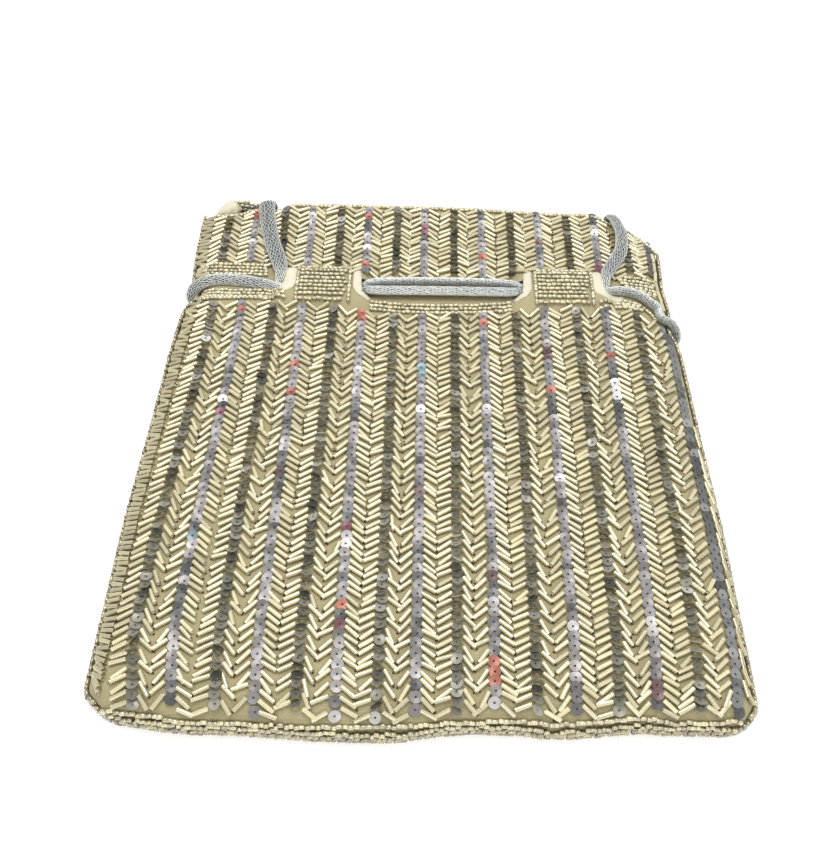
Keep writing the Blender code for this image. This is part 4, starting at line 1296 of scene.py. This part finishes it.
def back_casing(dips, start, end):
    """The same route on the back, which is the front turned over."""
    points = []
    for x, y, z in front_casing(dips, start, end):
        depth = max(0.0, OUT_LEVEL - z)
        level = OUT_LEVEL - IN_LEVEL
        if depth <= level:
            turned = BACK_OUT + (BACK_IN - BACK_OUT) * depth / level
        else:
            turned = BACK_IN + depth - level
        points.append((-x, y, turned))
    return points


def round_edge(side, start_y, low_y):
    """A cord's way round a side seam, from the front to the back."""
    edge = abs(pinched(side * along(WIDTHS, low_y), low_y))
    seam = along(SEAM_HEIGHTS, low_y)
    out = 0.0035
    places = (
        (-0.0035, OUT_LEVEL - 0.0003, start_y),
        (0.0003, OUT_LEVEL - 0.0015, (2 * start_y + low_y) / 3),
        (0.0026, seam + 0.0035, (start_y + 2 * low_y) / 3),
        (out, seam + 0.0010, low_y),
        (out, seam - 0.0010, low_y),
        (0.0026, seam - 0.0035, low_y),
        (0.0008, BACK_OUT + 0.0003, low_y),
    )
    return [(side * (edge + x), y, z) for x, z, y in places]


LEFT_RISE = [
    (-0.0694, 0.1178, 0.0036), (-0.0694, 0.1178, 0.0090), (-0.0694, 0.1178, 0.0136),
    (-0.0695, 0.1172, 0.0157), (-0.0697, 0.1154, 0.0168), (-0.0697, 0.1130, 0.0168),
    (-0.0682, 0.1040, 0.0168), (-0.0653, 0.0918, 0.0168), (-0.0622, 0.0830, 0.0170),
    (-0.0600, 0.0758, 0.0170),
]
RIGHT_RISE = [
    (0.0790, 0.1134, 0.0036), (0.0790, 0.1134, 0.0085), (0.0791, 0.1132, 0.0125),
    (0.0794, 0.1124, 0.0145), (0.0800, 0.1106, 0.0156), (0.0808, 0.1075, 0.0160),
    (0.0820, 0.1010, 0.0165), (0.0817, 0.0950, 0.0168), (0.0804, 0.0880, 0.0169),
    (0.0768, 0.0810, 0.0170), (0.0733, 0.0744, 0.0170),
]
ROUND_RIGHT = [
    (0.0772, 0.0662, OUT_LEVEL + 0.0002),
    (0.0840, 0.0645, OUT_LEVEL + 0.0003),
    (0.0885, 0.0602, 0.0165),
    (0.0918, 0.0560, 0.0165),
    *round_edge(1, 0.0522, 0.0480),
    (0.0920, 0.0525, BACK_OUT),
    (0.0830, 0.0600, BACK_OUT),
    (0.0740, LO, BACK_OUT),
]
ROUND_LEFT = [
    (-0.0660, 0.0670, OUT_LEVEL),
    (-0.0720, 0.0686, OUT_LEVEL),
    (-0.0830, 0.0697, OUT_LEVEL),
    *round_edge(-1, 0.0690, 0.0652),
    (-0.0900, 0.0645, BACK_OUT),
]
LEFT_OUT = [(-0.0790, 0.0735, BACK_OUT), (-0.0795, 0.0800, BACK_OUT), (-0.0795, LOOP_START - 0.0003, BACK_OUT)]
RIGHT_OUT = [(0.0665, 0.0735, BACK_OUT), (0.0672, 0.0800, BACK_OUT), (0.0672, LOOP_START - 0.0003, BACK_OUT)]
LEFT_CORD = LEFT_RISE + front_casing(True, HI, LO) + ROUND_RIGHT + back_casing(True, LO, HI) + LEFT_OUT
RIGHT_CORD = RIGHT_RISE + front_casing(False, LO, HI)[::-1] + ROUND_LEFT
RIGHT_CORD += back_casing(False, HI, LO)[::-1] + RIGHT_OUT


def strands(side, rim_x, rim_y, back_x):
    """The two strands of a handle loop, to the knot."""
    knot_end = side * 0.0268
    front = [
        (rim_x, rim_y, BACK_OUT),
        (rim_x - side * 0.0010, rim_y - 0.0020, BACK_OUT),
        (rim_x - side * 0.0060, 0.1092, BACK_OUT),
        (side * 0.0560, LOOP_ROWS[0], BACK_OUT),
        (side * 0.0330, LOOP_ROWS[0], BACK_OUT),
        (side * 0.0200, LOOP_ROWS[0], BACK_OUT),
        (side * 0.0160, (LOOP_ROWS[0] + LOOP_ROWS[1]) / 2, BACK_OUT),
        (side * 0.0200, LOOP_ROWS[1], BACK_OUT),
        (side * 0.0330, LOOP_ROWS[1], BACK_OUT),
        (side * 0.0450, LOOP_ROWS[1], BACK_OUT),
        (side * 0.0490, (LOOP_ROWS[1] + LOOP_ROWS[2]) / 2, BACK_OUT),
        (side * 0.0450, LOOP_ROWS[2], BACK_OUT),
        (side * 0.0330, LOOP_ROWS[2], BACK_OUT),
        (knot_end, LOOP_ROWS[2], BACK_OUT),
    ]
    back = [
        (back_x, LOOP_START, BACK_OUT),
        (back_x, LOOP_START + 0.0010, BACK_OUT),
        (back_x - side * 0.0030, 0.0875, BACK_OUT),
        (side * 0.0600, LOOP_ROWS[3] - 0.0005, BACK_OUT),
        (side * 0.0450, LOOP_ROWS[3] - 0.0005, BACK_OUT),
        (side * 0.0330, LOOP_ROWS[3], BACK_OUT),
        (knot_end, LOOP_ROWS[3], BACK_OUT),
    ]
    return front, back


# %% [markdown]
# A core carries a cord's form, and twenty-eight threads run along it and sway to and fro, each
# against its neighbours, so that they touch and part like the loops of a knit. The core is dark as
# painted shade, the shade that shows in the gaps between the loops. Real loops would need many
# times the faces, and a bump alone would leave the outline smooth. The threads start as a curve
# object with a round bevel, because that sweeps a tube along each of them at once.

# %% Knitted cord
CORD_HALF_WIDE = 0.00245
CORD_HALF_THICK = 0.00140
THREADS = 28
THREAD_R = 0.00018
STITCH = 0.0029
SWAY = 0.10
LOOSE = 0.7
WANDER = 0.13
LINE_STEP = 0.00058
CORE_SIDES = 12
LEFT_SPREAD = ((0.0690, 0.85), (0.0740, 1.2), (0.0790, 1.4), (0.0970, 1.45), (0.1140, 1.5))
RIGHT_SPREAD = ((0.0690, 0.95), (0.0740, 1.15), (0.0880, 1.2), (0.1040, 1.2))
SLIT_SQUEEZE = 0.22


def smooth_line(points, step):
    """Points about a step apart on a smooth curve through a route, never below the table."""
    route = [Vector(p) for p in points]
    route = [2 * route[0] - route[1], *route, 2 * route[-1] - route[-2]]
    line = [route[1]]
    for a, b, c, d in zip(route, route[1:], route[2:], route[3:]):
        count = max(1, round((c - b).length / step))
        for k in range(1, count + 1):
            t = k / count
            curve = 2 * b + (c - a) * t + (2 * a - 5 * b + 4 * c - d) * t * t + (3 * b - a - 3 * c + d) * t**3
            line.append(0.5 * curve)
    for place in line:
        place.z = max(place.z, BACK_OUT)
    return line


def carried_frames(line, first_up):
    """The directions across and through a cord at each point, carried along without twist."""
    frames = []
    through = Vector(first_up)
    for k, place in enumerate(line):
        ahead = line[min(k + 1, len(line) - 1)] - line[max(k - 1, 0)]
        ahead.normalize()
        through = (through - ahead * through.dot(ahead)).normalized()
        frames.append((ahead.cross(through), through))
    return frames


def girth(place):
    """How wide a cord is at a place: spread where it rises to the mouth, squeezed at the slits."""
    share = 1.0
    if place.y > 0.0745 and place.z > 0.012:
        share = along(LEFT_SPREAD if place.x < 0 else RIGHT_SPREAD, place.y)
    for slit in SLITS:
        away = math.hypot((abs(place.x) - abs(slit)) / 0.0030, (place.y - CORD_Y) / 0.0070)
        share *= 1.0 - SLIT_SQUEEZE * math.exp(-away * away) * (place.x * slit > 0)
    return share


def thread_curves(name, line, frames):
    """A curve object with a spline for each thread round a flattened section."""
    curve = bpy.data.curves.new(name, "CURVE")
    curve.dimensions = "3D"
    curve.bevel_depth = THREAD_R
    curve.bevel_resolution = 0
    curve.use_fill_caps = True
    wides = [girth(place) for place in line]
    for j in range(THREADS):
        phase = math.pi * j + 0.5 * math.sin(2.4 * j)
        spline = curve.splines.new("POLY")
        spline.points.add(len(line) - 1)
        gone = 0.0
        for k, (place, (across, through)) in enumerate(zip(line, frames)):
            if k:
                gone += (place - line[k - 1]).length
            loose = 1.0 + LOOSE * noise.noise(Vector((gone * 180.0, 0.7 * j, 4.0)))
            wander = WANDER * noise.noise(Vector((gone * 320.0, 1.9 * j, 9.0)))
            swing = SWAY * loose * math.sin(2 * math.pi * gone / STITCH + phase) + wander
            turn = 2 * math.pi * (j + 0.5) / THREADS + swing
            wide = (CORD_HALF_WIDE - THREAD_R) * wides[k]
            uneven = 1.0 + 0.06 * math.sin(5.0 * turn + 900.0 * gone)
            thick = (CORD_HALF_THICK - THREAD_R) * uneven
            spot_at = place + across * wide * math.cos(turn) + through * thick * math.sin(turn)
            spline.points[k].co = (*spot_at, 1.0)
    return in_scene(name, curve)


def core_tube(name, line, frames):
    """The flattened core: a ring of vertices extruded from point to point."""
    work = bmesh.new()
    ring = bmesh.ops.create_circle(work, cap_ends=True, segments=CORE_SIDES, radius=1.0)["verts"]
    shape = [vert.co.copy() for vert in ring]
    wide, thick = (CORD_HALF_WIDE - THREAD_R) * 0.93, (CORD_HALF_THICK - THREAD_R) * 0.93

    def lay(verts, place, across, through):
        share = girth(place)
        for vert, co in zip(verts, shape):
            vert.co = place + across * wide * share * co.x + through * thick * co.y

    lay(ring, line[0], *frames[0])
    edges = list(work.edges)
    for place, (across, through) in list(zip(line, frames))[3::3]:
        made = bmesh.ops.extrude_edge_only(work, edges=edges)["geom"]
        fresh = [g for g in made if isinstance(g, bmesh.types.BMVert)]
        edges = [g for g in made if isinstance(g, bmesh.types.BMEdge)]
        edges = [e for e in edges if e.verts[0] in fresh and e.verts[1] in fresh]
        order = {vert: k for k, vert in enumerate(ring)}
        following = [None] * len(ring)
        for vert in fresh:
            old = next(e.other_vert(vert) for e in vert.link_edges if e.other_vert(vert) in order)
            following[order[old]] = vert
        ring = following
        lay(ring, place, across, through)
    bmesh.ops.contextual_create(work, geom=ring)
    bmesh.ops.recalc_face_normals(work, faces=work.faces)
    return kept_shape(name, work)


def knitted_cord(name, route, first_up):
    """A cord of a dark core, painted shade for the gaps of the knit, and swaying threads along a route, with
    the line that it follows.
    """
    line = smooth_line(route, LINE_STEP)
    frames = carried_frames(line, first_up)
    core = core_tube(name, line, frames)
    core.data.materials.append(cord_core)
    core.data.materials.append(cord_silver)
    threads = settled(thread_curves(name + "_threads", line, frames), name + "_threads")
    work = bmesh.new()
    work.from_mesh(core.data)
    first = len(work.faces)
    work.from_mesh(threads.data)
    work.faces.ensure_lookup_table()
    for k, f in enumerate(work.faces):
        f.material_index = 0 if k < first else 1
        f.smooth = True
    work.to_mesh(core.data)
    work.free()
    bpy.data.objects.remove(threads, do_unlink=True)
    length = sum((b - a).length for a, b in zip(line, line[1:]))
    print(name, round(length, 4), "m,", len(core.data.polygons), "faces")
    return core, line, length


for word, route in (("left", LEFT_CORD), ("right", RIGHT_CORD)):
    piece, line, length = knitted_cord(f"{word}_cord", route, (0, 1, 0))
    worn(piece, "cord", f"{word}_drawcord")

# %% [markdown]
# Behind the bag the two ends of each cord are tied into a handle loop, which slides sideways when
# the mouth is drawn. The knot is a ball pressed flat, with grooves where the cord wraps round it.
# A strand starts on the bag and ends in the knot.

# %% Knots and handle strands
KNOT_PLACE = (0.0205, 0.0905)
KNOT_SIZE = (0.012, 0.009, 0.0044)
KNOT_LIFT = 0.0004
WRAPS = 1300.0
WRAP_DEEP = 0.0006


def tied_knot(name, side):
    """The flattened knot where a cord's two ends are tied."""
    work = bmesh.new()
    bmesh.ops.create_uvsphere(work, u_segments=56, v_segments=36, radius=0.5)
    bmesh.ops.scale(work, vec=KNOT_SIZE, verts=work.verts)
    for vert in work.verts:
        slant = 0.35 * vert.co.y * (1.0 if vert.co.z > 0 else -1.0)
        wrap = abs(math.sin(WRAPS * (vert.co.x + slant)))
        vert.co -= vert.co.normalized() * WRAP_DEEP * (1.0 - wrap) ** 2
    place = (side * KNOT_PLACE[0], KNOT_PLACE[1], KNOT_SIZE[2] / 2 + KNOT_LIFT)
    bmesh.ops.translate(work, vec=place, verts=work.verts)
    made = kept_shape(name, work)
    made.data.materials.append(shaded_knot_silver)
    return made


HANDLES = (("left", -1, -0.0694, 0.1178, -0.0795), ("right", 1, 0.0790, 0.1134, 0.0672))
for word, side, rim_x, rim_y, back_x in HANDLES:
    knot = tied_knot(f"{word}_tied_knot", side)
    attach(knot, f"{word}_handle")
    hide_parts(f"{word}_knot")
    for place, route in zip(("front", "back"), strands(side, rim_x, rim_y, back_x)):
        piece, line, length = knitted_cord(f"{word}_{place}_strand", route, (0, 0, 1))
        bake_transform(piece)
        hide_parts(f"{word}_handle_{place}_strand")

# %% [markdown]
# The shapes that were only for stamping are removed.

# %% Finish
for shape in (bugle_shape, seed_shape, sequin_shape, knot_shape):
    bpy.data.objects.remove(shape, do_unlink=True)
